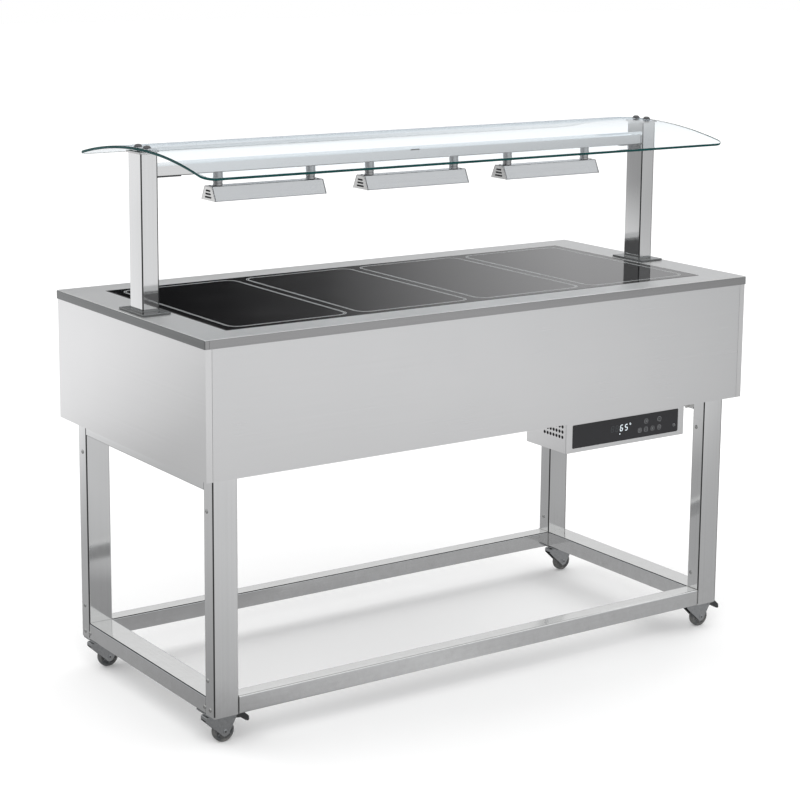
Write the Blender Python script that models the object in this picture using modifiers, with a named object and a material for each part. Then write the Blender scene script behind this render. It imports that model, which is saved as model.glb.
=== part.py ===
"""Mobile hot buffet counter: a steel body on a tube stand with castors, a glass-ceramic
top with four coils below it, and a gantry that carries a curved glass and three heat lamps.

Metres, +Z up. X is the length, the control panel faces -Y, and the origin is on the floor
under the middle of the worktop.
"""

import math

import bmesh
import bpy
from mathutils import Matrix

# Gaps
SEAT_GAP = 0.0003          # between two pieces that touch
SHAFT_GAP = 0.0005         # round a shaft, on the radius
SIDE_GAP = 0.0008          # beside a turning piece

# Worktop, plate and body
WORKTOP_LENGTH = 1.500
WORKTOP_DEPTH = 0.700
WORKTOP_HEIGHT = 0.900
WORKTOP_SHEET = 0.002
RIM_HEIGHT = 0.020
END_MARGIN = 0.092         # worktop end to the plate
SIDE_MARGIN = 0.072        # worktop front to the plate
PLATE_THICKNESS = 0.006
SEAL_WIDTH = 0.002
SEAL_THICKNESS = 0.001
LEDGE_WIDTH = 0.015
BODY_HEIGHT = 0.300        # worktop surface to the lower edge of the skirts
SKIRT_SHEET = 0.002
SKIRT_RETURN = 0.015       # how far an end skirt wraps round the corner
SKIRT_SEAM = 0.0006
SKIRT_FLANGE = 0.020
TRAY_SHEET = 0.0015
TRAY_WALL = 0.040

# Coils under the plate
COIL_COUNT = 4
COIL_RADIUS = 0.125
COIL_BORE = 0.025
COIL_THICKNESS = 0.008
COIL_TRAY_DEPTH = 0.020
COIL_TRAY_SHEET = 0.0015

# Stand
FRAME_END_INSET = 0.033    # worktop end to the frame's outer face
FRAME_SIDE_INSET = 0.032
FRAME_OVERLAP = 0.005      # the frame's top stands this far above the skirts' lower edge
LEG_WIDTH = 0.060          # along X
LEG_DEPTH = 0.040          # along Y
RAIL_HEIGHT = 0.040
RAIL_DEPTH = 0.040
TUBE_WALL = 0.002
TUBE_ROUNDING = 0.003
DRAIN_RADIUS = 0.004

# Gantry
POST_WIDTH = 0.040         # along X
POST_DEPTH = 0.060         # along Y
POST_INSET = 0.046         # worktop end to the middle of the post
POST_HEIGHT = 0.346
FLANGE_SIDE = 0.014        # flange beyond the post along X
FLANGE_FRONT = 0.027       # flange beyond the post along Y
FLANGE_THICKNESS = 0.0045
CAP_LIP = 0.004
CAP_THICKNESS = 0.004
CAP_PLUG = 0.018
GLASS_OVERHANG = 0.012     # glass beyond the middle of the post
GLASS_DEPTH = 0.590
GLASS_CAMBER = 0.036
GLASS_THICKNESS = 0.006
GLASS_CORNER = 0.028
SCREW_SPACING = 0.040
SCREW_RADIUS = 0.0035
SCREW_HEAD_RADIUS = 0.0085
SCREW_HEAD_HEIGHT = 0.006
SCREW_HOLE_GAP = 0.0008
BEAM_DEPTH = 0.050
BEAM_HEIGHT = 0.025
BEAM_DROP = 0.026          # post top to the beam's upper face

# Lamps
LAMP_COUNT = 3
LAMP_PITCH = 0.400
LAMP_LENGTH = 0.290
LAMP_HEIGHT = 0.032
LAMP_TOP_DEPTH = 0.032
LAMP_BOTTOM_DEPTH = 0.060
LAMP_SHEET = 0.0015
STANDOFF_LENGTH = 0.031
STANDOFF_RADIUS = 0.011
STANDOFF_CHAMFER = 0.001
STANDOFF_SPACING = 0.240
HEATER_RADIUS = 0.006
HEATER_LENGTH = 0.250
HEATER_DROP = 0.016        # inside of the roof to the heater's axis
HEATER_CLIP = 0.008

# Controls
CONTROL_END_INSET = 0.160  # worktop end to the box
CONTROL_FRONT_INSET = 0.032
CONTROL_WIDTH = 0.365
CONTROL_DEPTH = 0.150
CONTROL_DROP = 0.080       # box below the skirts' lower edge
CONTROL_SHEET = 0.0015
FRONT_PANEL_THICKNESS = 0.003
TOUCH_WIDTH = 0.328
TOUCH_HEIGHT = 0.055
TOUCH_THICKNESS = 0.002
TOUCH_LIFT = 0.0105        # panel's lower edge to the touch panel
VENT_ROWS = 3
VENT_COLUMNS = 7
VENT_RADIUS = 0.0035
VENT_PITCH_Y = 0.011
VENT_PITCH_Z = 0.0135
VENT_FROM_FRONT = 0.012
VENT_FROM_TOP = 0.010
FAN_SIZE = 0.060
FAN_DEPTH = 0.015
FAN_INSET = 0.060          # box end to the fan's middle
FAN_BLADES = 7
FAN_HUB_RADIUS = 0.011
FAN_SHAFT_RADIUS = 0.002
FAN_STRUT = 0.004
FAN_BLADE_SHEET = 0.0012
FAN_BLADE_PITCH = 38        # degrees
FAN_TIP_GAP = 0.0015
BOARD_LENGTH = 0.180
BOARD_DEPTH = 0.095
BOARD_THICKNESS = 0.0016
BOARD_LIFT = 0.006
BOARD_HOLE_INSET = 0.008
SPACER_HALF = 0.003
SINK_HEIGHT = 0.030
CAPACITOR_RADIUS = 0.011
GLAND_INSET = 0.070        # box end to the gland's axis
GLAND_RADIUS = 0.012
GLAND_NECK = 0.008
GLAND_BORE = 0.0055
GLAND_LENGTH = 0.028
GLAND_NUT_TAPER = 0.006     # tapered end of the clamping nut
GLAND_NUT_LENGTH = 0.014

# Castors
CASTOR_INSET = 0.043       # frame's front face to the swivel axis
CASTOR_PLATE_LENGTH = 0.080
CASTOR_PLATE = 0.0025
RACE_RADIUS = 0.021
RACE_HEIGHT = 0.003
KINGPIN_RADIUS = 0.005
KINGPIN_HEAD_RADIUS = 0.008
KINGPIN_HEAD = 0.002
FORK_SHEET = 0.0022
FORK_REAR = 0.033          # swivel axis to the fork's blunt end
FORK_NOSE = 0.042          # swivel axis to the pedal end
FORK_EYE = 0.011
FORK_REAR_EDGE = 0.007     # height of the fork's upright edge at its blunt end
FORK_NOSE_EDGE = 0.014
TRAIL = 0.014
WHEEL_RADIUS = 0.025
WHEEL_WIDTH = 0.018
WHEEL_CROWN_GAP = 0.011    # wheel to the kingpin's head
AXLE_RADIUS = 0.004
HUB_RADIUS = 0.009
TREAD_SHOULDER = 0.004
RIVET_HEAD = 0.0015
PEDAL_PIN_RADIUS = 0.002
PEDAL_PIN_BACK = 0.004     # fork nose to the pedal pin
PEDAL_PIN_DROP = 0.011     # fork top to the pedal pin
PEDAL_REACH = 0.036        # pedal pin to the tip of the lever
PEDAL_SHOE_GAP = 0.0015    # brake shoe to the wheel
PEDAL_SHOE_HALF = 0.0025
PEDAL_THICKNESS = 0.004

# Worked out from the sizes above
HALF_LENGTH = WORKTOP_LENGTH / 2
HALF_DEPTH = WORKTOP_DEPTH / 2
SKIRT_BOTTOM = WORKTOP_HEIGHT - BODY_HEIGHT
RIM_INSIDE_X = HALF_LENGTH - WORKTOP_SHEET
RIM_INSIDE_Y = HALF_DEPTH - WORKTOP_SHEET
SKIRT_X = RIM_INSIDE_X - SEAT_GAP
SKIRT_Y = RIM_INSIDE_Y - SEAT_GAP
SKIRT_TOP = WORKTOP_HEIGHT - WORKTOP_SHEET - SEAT_GAP
PLATE_X = HALF_LENGTH - END_MARGIN
PLATE_Y = HALF_DEPTH - SIDE_MARGIN
PLATE_BOTTOM = WORKTOP_HEIGHT - PLATE_THICKNESS
OPENING_X = PLATE_X + SEAL_WIDTH + 2 * SEAT_GAP
OPENING_Y = PLATE_Y + SEAL_WIDTH + 2 * SEAT_GAP
LEDGE_TOP = PLATE_BOTTOM - SEAL_THICKNESS - 2 * SEAT_GAP
LEDGE_BOTTOM = LEDGE_TOP - WORKTOP_SHEET
FRAME_X = HALF_LENGTH - FRAME_END_INSET
FRAME_Y = HALF_DEPTH - FRAME_SIDE_INSET
FRAME_TOP = SKIRT_BOTTOM + FRAME_OVERLAP
POST_X = HALF_LENGTH - POST_INSET
POST_BOTTOM = WORKTOP_HEIGHT + SEAT_GAP
POST_TOP = POST_BOTTOM + POST_HEIGHT
CAP_BOTTOM = POST_TOP + SEAT_GAP
CAP_TOP = CAP_BOTTOM + CAP_THICKNESS
BEAM_TOP = POST_TOP - BEAM_DROP
BEAM_BOTTOM = BEAM_TOP - BEAM_HEIGHT
LAMP_TOP = BEAM_BOTTOM - STANDOFF_LENGTH
FORK_TOP = 2 * WHEEL_RADIUS + WHEEL_CROWN_GAP + KINGPIN_HEAD + SEAT_GAP + FORK_SHEET
RACE_BOTTOM = FORK_TOP + SEAT_GAP
CASTOR_TOP = RACE_BOTTOM + RACE_HEIGHT + CASTOR_PLATE
FRAME_BOTTOM = CASTOR_TOP + SEAT_GAP
FORK_INSIDE = WHEEL_WIDTH / 2 + SIDE_GAP
CONTROL_RIGHT = HALF_LENGTH - CONTROL_END_INSET
CONTROL_LEFT = CONTROL_RIGHT - CONTROL_WIDTH
CONTROL_FRONT = -HALF_DEPTH + CONTROL_FRONT_INSET
CONTROL_REAR = CONTROL_FRONT + CONTROL_DEPTH
CONTROL_BOTTOM = SKIRT_BOTTOM - CONTROL_DROP
BOX_FRONT = CONTROL_FRONT + FRONT_PANEL_THICKNESS + SEAT_GAP

ALONG_X = (math.pi / 2, 0, math.pi / 2)   # an outline in YZ, drawn out along X
ALONG_Y = (math.pi / 2, 0, 0)             # an outline in XZ, drawn out along Y
ALONG_Z = (0, 0, 0)
SPARE = 0.01                              # how far a cutter stands out of what it cuts


def clear_scene():
    for obj in list(bpy.data.objects):
        bpy.data.objects.remove(obj, do_unlink=True)


def make_collection(name):
    collection = bpy.data.collections.new(name)
    bpy.context.scene.collection.children.link(collection)
    return collection


clear_scene()
PARTS = make_collection("hot_buffet_counter")
CUTTERS = make_collection("cutters")


def make_material(name, colour, roughness, metallic=0.0, transmission=0.0):
    material = bpy.data.materials.new(name)
    material.use_nodes = True
    shader = material.node_tree.nodes["Principled BSDF"]
    shader.inputs["Base Color"].default_value = (*colour, 1)
    shader.inputs["Roughness"].default_value = roughness
    shader.inputs["Metallic"].default_value = metallic
    shader.inputs["Transmission Weight"].default_value = transmission
    material.diffuse_color = (*colour, 1)
    return material


SATIN_STEEL = make_material("satin_steel", (0.72, 0.72, 0.71), 0.35, 1.0)
POLISHED_STEEL = make_material("polished_steel", (0.62, 0.63, 0.63), 0.12, 1.0)
BLACK_CERAMIC = make_material("black_ceramic", (0.01, 0.01, 0.012), 0.06)
SILICONE = make_material("silicone", (0.03, 0.03, 0.03), 0.6)
COPPER = make_material("copper", (0.72, 0.38, 0.22), 0.35, 1.0)
ALUMINIUM = make_material("aluminium", (0.75, 0.76, 0.77), 0.3, 1.0)
CLEAR_GLASS = make_material("clear_glass", (0.80, 0.93, 0.92), 0.02, 0.0, 1.0)
DARK_STEEL = make_material("dark_steel", (0.12, 0.12, 0.12), 0.3, 1.0)
QUARTZ = make_material("quartz", (0.85, 0.55, 0.40), 0.15)
BLACK_GLOSS = make_material("black_gloss", (0.015, 0.015, 0.018), 0.1)
BOARD_GREEN = make_material("board_green", (0.05, 0.22, 0.10), 0.5)
BLACK_PLASTIC = make_material("black_plastic", (0.03, 0.03, 0.03), 0.45)
ZINC = make_material("zinc", (0.55, 0.56, 0.58), 0.35, 1.0)
GREY_RUBBER = make_material("grey_rubber", (0.16, 0.17, 0.18), 0.7)


def place(obj, collection, material=None, location=(0, 0, 0), rotation=(0, 0, 0)):
    collection.objects.link(obj)
    obj.location = location
    obj.rotation_euler = rotation
    if material:
        obj.data.materials.append(material)
    if collection is CUTTERS:
        obj.hide_render = True
        obj.display_type = "WIRE"
    return obj


def mesh_object(name, bm, collection, material, location, rotation=(0, 0, 0)):
    mesh = bpy.data.meshes.new(name)
    bm.to_mesh(mesh)
    bm.free()
    obj = bpy.data.objects.new(name, mesh)
    return place(obj, collection, material, location, rotation)


def box(name, low, high, material=None, collection=PARTS, rotation=(0, 0, 0)):
    """A box from its lowest and highest corners, with its origin in its middle."""
    size = [high[i] - low[i] for i in range(3)]
    middle = [(high[i] + low[i]) / 2 for i in range(3)]
    bm = bmesh.new()
    bmesh.ops.create_cube(bm, size=1.0, matrix=Matrix.Diagonal((*size, 1)))
    return mesh_object(name, bm, collection, material, middle, rotation)


def cylinder(name, middle, radius, length, axis, steps=16, material=None, collection=CUTTERS):
    bm = bmesh.new()
    bmesh.ops.create_cone(
        bm, cap_ends=True, segments=steps, radius1=radius, radius2=radius, depth=length
    )
    return mesh_object(name, bm, collection, material, middle, axis)


def cut(obj, cutter):
    modifier = obj.modifiers.new("cut_" + cutter.name, "BOOLEAN")
    modifier.operation = "DIFFERENCE"
    modifier.solver = "EXACT"
    modifier.object = cutter
    return obj


def join(obj, other):
    modifier = obj.modifiers.new("join_" + other.name, "BOOLEAN")
    modifier.operation = "UNION"
    modifier.solver = "EXACT"
    modifier.object = other
    return obj


def keep_common(obj, other):
    modifier = obj.modifiers.new("common_" + other.name, "BOOLEAN")
    modifier.operation = "INTERSECT"
    modifier.solver = "EXACT"
    modifier.object = other
    return obj


def prism(name, outlines, length, axis, middle, material=None, collection=PARTS):
    """A flat outline drawn out along an axis. Outlines after the first are holes in it."""
    curve = bpy.data.curves.new(name, "CURVE")
    curve.dimensions = "2D"
    curve.fill_mode = "BOTH"
    curve.extrude = length / 2
    for outline in outlines:
        spline = curve.splines.new("POLY")
        spline.points.add(len(outline) - 1)
        for point, (x, y) in zip(spline.points, outline):
            point.co = (x, y, 0, 1)
        spline.use_cyclic_u = True
    drawn = bpy.data.objects.new(name + "_outline", curve)
    bpy.context.scene.collection.objects.link(drawn)
    graph = bpy.context.evaluated_depsgraph_get()
    mesh = bpy.data.meshes.new_from_object(drawn.evaluated_get(graph))
    mesh.name = name
    bpy.data.objects.remove(drawn, do_unlink=True)
    bm = bmesh.new()
    bm.from_mesh(mesh)
    bmesh.ops.remove_doubles(bm, verts=bm.verts, dist=1e-6)
    bmesh.ops.recalc_face_normals(bm, faces=bm.faces)
    bm.to_mesh(mesh)
    bm.free()
    mesh.materials.clear()
    return place(bpy.data.objects.new(name, mesh), collection, material, middle, axis)


def turned(name, profile, middle, axis, steps=24, material=None, collection=PARTS, ring=False):
    """A profile of radius and height pairs, listed from the top, turned about its axis."""
    count = len(profile)
    edges = [(i, i + 1) for i in range(count - 1)] + ([(count - 1, 0)] if ring else [])
    mesh = bpy.data.meshes.new(name)
    mesh.from_pydata([(radius, 0, height) for radius, height in profile], edges, [])
    obj = place(bpy.data.objects.new(name, mesh), collection, material, middle, axis)
    screw = obj.modifiers.new("turn", "SCREW")
    screw.steps = steps
    screw.render_steps = steps
    screw.use_merge_vertices = True
    screw.merge_threshold = 0.00001
    screw.use_smooth_shade = True
    return obj


def arc(centre, radius, start, end, steps):
    """Points along an arc, angles in degrees."""
    angles = [math.radians(start + (end - start) * i / steps) for i in range(steps + 1)]
    return [(centre[0] + radius * math.cos(a), centre[1] + radius * math.sin(a)) for a in angles]


def rounded_rectangle(width, height, radius, steps=2):
    x, y = width / 2 - radius, height / 2 - radius
    corners = ((x, y, 0), (-x, y, 90), (-x, -y, 180), (x, -y, 270))
    return [p for cx, cy, a in corners for p in arc((cx, cy), radius, a, a + 90, steps)]


def rectangle(low, high):
    return [(low[0], low[1]), (high[0], low[1]), (high[0], high[1]), (low[0], high[1])]


def tube(name, width, height, length, axis, middle, material):
    """A rectangular tube with open ends."""
    outside = rounded_rectangle(width, height, TUBE_ROUNDING)
    inside = rounded_rectangle(
        width - 2 * TUBE_WALL, height - 2 * TUBE_WALL, TUBE_ROUNDING - TUBE_WALL / 2
    )
    return prism(name, (outside, inside), length, axis, middle, material)


def make_end_frame(name, side):
    """A welded ring of tube: two legs, an upper and a lower rail, hollow all round."""
    middle_z = (FRAME_TOP + FRAME_BOTTOM) / 2
    half_z = (FRAME_TOP - FRAME_BOTTOM) / 2
    middle = (side * (FRAME_X - LEG_WIDTH / 2), 0, middle_z)

    def ring(wall):
        outer = (FRAME_Y - wall, half_z - wall)
        inner = (FRAME_Y - LEG_DEPTH + wall, half_z - RAIL_HEIGHT + wall)
        return (
            rectangle((-outer[0], -outer[1]), outer),
            rectangle((-inner[0], -inner[1]), inner),
        )

    frame = prism(name, ring(0), LEG_WIDTH, ALONG_X, middle, POLISHED_STEEL)
    rounding = frame.modifiers.new("rounding", "BEVEL")
    rounding.width = TUBE_ROUNDING
    rounding.segments = 2
    rounding.limit_method = "ANGLE"
    core_width = LEG_WIDTH - 2 * TUBE_WALL
    cut(frame, prism(name + "_core", ring(TUBE_WALL), core_width, ALONG_X, middle, None, CUTTERS))
    drain = (middle[0], 0, FRAME_BOTTOM + TUBE_WALL / 2)
    cut(frame, cylinder(name + "_drain", drain, DRAIN_RADIUS, 2 * TUBE_WALL, ALONG_Z, 12))


def make_stand():
    make_end_frame("left_end_frame", -1)
    make_end_frame("right_end_frame", 1)
    length = 2 * (FRAME_X - LEG_WIDTH - SEAT_GAP)
    for name, side in (("front_lower_rail", -1), ("rear_lower_rail", 1)):
        middle = (0, side * (FRAME_Y - RAIL_DEPTH / 2), FRAME_BOTTOM + RAIL_HEIGHT / 2)
        tube(name, RAIL_DEPTH, RAIL_HEIGHT, length, ALONG_X, middle, POLISHED_STEEL)


def make_worktop():
    """A pressed sheet with a folded rim and a sunk ledge that holds the plate."""
    top = WORKTOP_HEIGHT
    worktop = box(
        "worktop",
        (-HALF_LENGTH, -HALF_DEPTH, top - RIM_HEIGHT),
        (HALF_LENGTH, HALF_DEPTH, top),
        SATIN_STEEL,
    )
    cut(worktop, box(
        "worktop_underside",
        (-RIM_INSIDE_X, -RIM_INSIDE_Y, top - RIM_HEIGHT - SPARE),
        (RIM_INSIDE_X, RIM_INSIDE_Y, top - WORKTOP_SHEET),
        collection=CUTTERS,
    ))
    wall_x, wall_y = OPENING_X + WORKTOP_SHEET, OPENING_Y + WORKTOP_SHEET
    join(worktop, box(
        "worktop_ledge_block",
        (-wall_x, -wall_y, LEDGE_BOTTOM),
        (wall_x, wall_y, top - WORKTOP_SHEET / 2),
        collection=CUTTERS,
    ))
    cut(worktop, box(
        "worktop_plate_recess",
        (-OPENING_X, -OPENING_Y, LEDGE_TOP),
        (OPENING_X, OPENING_Y, top + SPARE),
        collection=CUTTERS,
    ))
    hole_x, hole_y = OPENING_X - LEDGE_WIDTH, OPENING_Y - LEDGE_WIDTH
    cut(worktop, box(
        "worktop_hole",
        (-hole_x, -hole_y, LEDGE_BOTTOM - SPARE),
        (hole_x, hole_y, top),
        collection=CUTTERS,
    ))


def make_plate():
    box(
        "glass_ceramic_plate",
        (-PLATE_X, -PLATE_Y, PLATE_BOTTOM),
        (PLATE_X, PLATE_Y, WORKTOP_HEIGHT),
        BLACK_CERAMIC,
    )
    edge_x, edge_y = OPENING_X - SEAT_GAP, OPENING_Y - SEAT_GAP
    seal = box(
        "plate_seal",
        (-edge_x, -edge_y, LEDGE_TOP + SEAT_GAP),
        (edge_x, edge_y, WORKTOP_HEIGHT - SEAT_GAP),
        SILICONE,
    )
    cut(seal, box(
        "seal_plate_seat",
        (-PLATE_X - SEAT_GAP, -PLATE_Y - SEAT_GAP, PLATE_BOTTOM - SEAT_GAP),
        (PLATE_X + SEAT_GAP, PLATE_Y + SEAT_GAP, WORKTOP_HEIGHT + SPARE),
        collection=CUTTERS,
    ))
    hole_x, hole_y = OPENING_X - LEDGE_WIDTH, OPENING_Y - LEDGE_WIDTH
    cut(seal, box(
        "seal_hole",
        (-hole_x, -hole_y, LEDGE_TOP - SPARE),
        (hole_x, hole_y, WORKTOP_HEIGHT),
        collection=CUTTERS,
    ))


def make_coils():
    """A shallow pan hung under the ledge, with a flat ring coil below each field."""
    pan_x, pan_y = OPENING_X - LEDGE_WIDTH / 2, OPENING_Y - LEDGE_WIDTH / 2
    pan_top = LEDGE_BOTTOM - SEAT_GAP
    pan_bottom = pan_top - COIL_TRAY_DEPTH
    pan = box(
        "coil_tray", (-pan_x, -pan_y, pan_bottom), (pan_x, pan_y, pan_top), ALUMINIUM
    )
    wall = COIL_TRAY_SHEET
    cut(pan, box(
        "coil_tray_hollow",
        (-pan_x + wall, -pan_y + wall, pan_bottom + wall),
        (pan_x - wall, pan_y - wall, pan_top + SPARE),
        collection=CUTTERS,
    ))
    pitch = 2 * PLATE_X / COIL_COUNT
    half = COIL_THICKNESS / 2
    profile = [
        (COIL_BORE, half), (COIL_RADIUS, half), (COIL_RADIUS, -half), (COIL_BORE, -half)
    ]
    for i in range(COIL_COUNT):
        x = (i - (COIL_COUNT - 1) / 2) * pitch
        middle = (x, 0, pan_bottom + wall + SEAT_GAP + half)
        turned(f"induction_coil_{i + 1}", profile, middle, ALONG_Z, 32, COPPER, ring=True)


def make_end_skirt(name, side):
    """A flat end panel that wraps a little way round both corners."""
    end = SKIRT_X
    inner = end - SKIRT_SHEET
    tip = end - SKIRT_RETURN
    depth, inner_depth = SKIRT_Y, SKIRT_Y - SKIRT_SHEET
    outline = [
        (end, -depth), (end, depth), (tip, depth), (tip, inner_depth),
        (inner, inner_depth), (inner, -inner_depth), (tip, -inner_depth), (tip, -depth),
    ]
    outline = [(side * x, y) for x, y in outline]
    middle = (0, 0, (SKIRT_TOP + SKIRT_BOTTOM) / 2)
    prism(name, (outline,), SKIRT_TOP - SKIRT_BOTTOM, ALONG_Z, middle, SATIN_STEEL)


def make_long_skirt(name, side):
    """A flat long panel with its lower edge folded inwards."""
    outside, inside = SKIRT_Y, SKIRT_Y - SKIRT_SHEET
    fold = SKIRT_Y - SKIRT_FLANGE
    outline = [
        (outside, SKIRT_TOP), (inside, SKIRT_TOP), (inside, SKIRT_BOTTOM + SKIRT_SHEET),
        (fold, SKIRT_BOTTOM + SKIRT_SHEET), (fold, SKIRT_BOTTOM), (outside, SKIRT_BOTTOM),
    ]
    outline = [(side * y, z) for y, z in outline]
    length = 2 * (SKIRT_X - SKIRT_RETURN - SKIRT_SEAM)
    prism(name, (outline,), length, ALONG_X, (0, 0, 0), SATIN_STEEL)


def make_body():
    make_end_skirt("left_skirt", -1)
    make_end_skirt("right_skirt", 1)
    make_long_skirt("front_skirt", -1)
    make_long_skirt("rear_skirt", 1)
    edge_x = SKIRT_X - SKIRT_SHEET - SEAT_GAP
    edge_y = SKIRT_Y - SKIRT_SHEET - SEAT_GAP
    bottom = FRAME_TOP + SEAT_GAP
    top = bottom + TRAY_WALL
    tray = box("bottom_tray", (-edge_x, -edge_y, bottom), (edge_x, edge_y, top), SATIN_STEEL)
    wall = TRAY_SHEET
    cut(tray, box(
        "bottom_tray_hollow",
        (-edge_x + wall, -edge_y + wall, bottom + wall),
        (edge_x - wall, edge_y - wall, top + SPARE),
        collection=CUTTERS,
    ))


def make_post(name, side):
    """A post of rectangular tube welded on a foot flange, open below."""
    x = side * POST_X
    height = POST_TOP - POST_BOTTOM
    middle = (x, 0, POST_BOTTOM + height / 2)
    post = tube(name, POST_WIDTH, POST_DEPTH, height, ALONG_Z, middle, POLISHED_STEEL)
    half_x = POST_WIDTH / 2 + FLANGE_SIDE
    half_y = POST_DEPTH / 2 + FLANGE_FRONT
    core = (POST_WIDTH - 2 * TUBE_WALL, POST_DEPTH - 2 * TUBE_WALL)
    flange = prism(
        name + "_flange",
        (
            rectangle((-half_x, -half_y), (half_x, half_y)),
            rounded_rectangle(*core, TUBE_ROUNDING - TUBE_WALL / 2),
        ),
        FLANGE_THICKNESS,
        ALONG_Z,
        (x, 0, POST_BOTTOM + FLANGE_THICKNESS / 2),
        None,
        CUTTERS,
    )
    join(post, flange)


def glass_bottom(y):
    """Height of the glass's lower face. It touches the cap at the cap's front edge."""
    radius = glass_radius()
    rest_y = POST_DEPTH / 2 + CAP_LIP
    crown = CAP_TOP + SEAT_GAP + radius - math.sqrt(radius**2 - rest_y**2)
    return crown - radius + math.sqrt(radius**2 - y**2)


def glass_radius():
    half = GLASS_DEPTH / 2
    return (half**2 + GLASS_CAMBER**2) / (2 * GLASS_CAMBER)


def make_glass_cap(name, side):
    """A lid on the post that the glass is screwed to, with a plug down inside the tube."""
    x = side * POST_X
    half_x, half_y = POST_WIDTH / 2 + CAP_LIP, POST_DEPTH / 2 + CAP_LIP
    cap = box(
        name, (x - half_x, -half_y, CAP_BOTTOM), (x + half_x, half_y, CAP_TOP), POLISHED_STEEL
    )
    plug_x = POST_WIDTH / 2 - TUBE_WALL - SEAT_GAP
    plug_y = POST_DEPTH / 2 - TUBE_WALL - SEAT_GAP
    plug = rounded_rectangle(2 * plug_x, 2 * plug_y, TUBE_ROUNDING)
    length = CAP_PLUG + CAP_THICKNESS / 2
    middle = (x, 0, CAP_BOTTOM + CAP_THICKNESS / 2 - length / 2)
    join(cap, prism(name + "_plug", (plug,), length, ALONG_Z, middle, None, CUTTERS))
    for end in (-1, 1):
        hole = (x, end * SCREW_SPACING / 2, CAP_TOP - CAP_PLUG / 2)
        cut(cap, cylinder(
            f"{name}_hole_{end}", hole, SCREW_RADIUS + SCREW_HOLE_GAP, CAP_PLUG * 2, ALONG_Z
        ))


def make_curved_glass():
    """One pane bent to an arc, with rounded corners and four screw holes."""
    half = GLASS_DEPTH / 2
    radius = glass_radius()
    outer_radius = radius + GLASS_THICKNESS
    centre = (0, glass_bottom(0) - radius)
    spread = math.degrees(math.asin(half / radius))
    steps = 20
    outline = arc(centre, outer_radius, 90 - spread, 90 + spread, steps)
    outline += arc(centre, radius, 90 + spread, 90 - spread, steps)
    half_x = POST_X + GLASS_OVERHANG
    glass = prism("curved_glass", (outline,), 2 * half_x, ALONG_X, (0, 0, 0), CLEAR_GLASS)
    plan = rounded_rectangle(2 * half_x + SEAT_GAP, GLASS_DEPTH + SPARE, GLASS_CORNER, 6)
    middle = (0, 0, glass_bottom(0) - GLASS_CAMBER / 2)
    height = 2 * (GLASS_CAMBER + GLASS_THICKNESS + SPARE)
    keep_common(glass, prism("glass_plan", (plan,), height, ALONG_Z, middle, None, CUTTERS))
    for side in (-1, 1):
        for end in (-1, 1):
            y = end * SCREW_SPACING / 2
            hole = (side * POST_X, y, glass_bottom(y) + GLASS_THICKNESS / 2)
            cut(glass, cylinder(
                f"glass_hole_{side}_{end}", hole, SCREW_RADIUS + SCREW_HOLE_GAP,
                4 * GLASS_THICKNESS, ALONG_Z,
            ))


def make_glass_screws():
    """Dome-headed screws from above the glass into the caps."""
    head = SCREW_HEAD_RADIUS
    profile = [(0, SCREW_HEAD_HEIGHT)]
    for degrees in (25, 50, 75):
        angle = math.radians(degrees)
        profile.append((head * math.sin(angle), SCREW_HEAD_HEIGHT * math.cos(angle)))
    shank = CAP_THICKNESS + GLASS_THICKNESS
    profile += [(head, 0), (SCREW_RADIUS, 0), (SCREW_RADIUS, -shank), (0, -shank)]
    for side_name, side in (("left", -1), ("right", 1)):
        for end_name, end in (("front", -1), ("rear", 1)):
            y = end * SCREW_SPACING / 2
            inner_y = y - end * SCREW_HEAD_RADIUS
            seat = glass_bottom(inner_y) + GLASS_THICKNESS + 2 * SEAT_GAP
            name = f"glass_screw_{side_name}_{end_name}"
            turned(name, profile, (side * POST_X, y, seat), ALONG_Z, 16, DARK_STEEL)


def make_gantry():
    make_post("left_post", -1)
    make_post("right_post", 1)
    make_glass_cap("left_glass_cap", -1)
    make_glass_cap("right_glass_cap", 1)
    make_curved_glass()
    make_glass_screws()
    length = 2 * (POST_X - POST_WIDTH / 2 - SEAT_GAP)
    middle = (0, 0, BEAM_TOP - BEAM_HEIGHT / 2)
    tube("lamp_beam", BEAM_DEPTH, BEAM_HEIGHT, length, ALONG_X, middle, POLISHED_STEEL)


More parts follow.
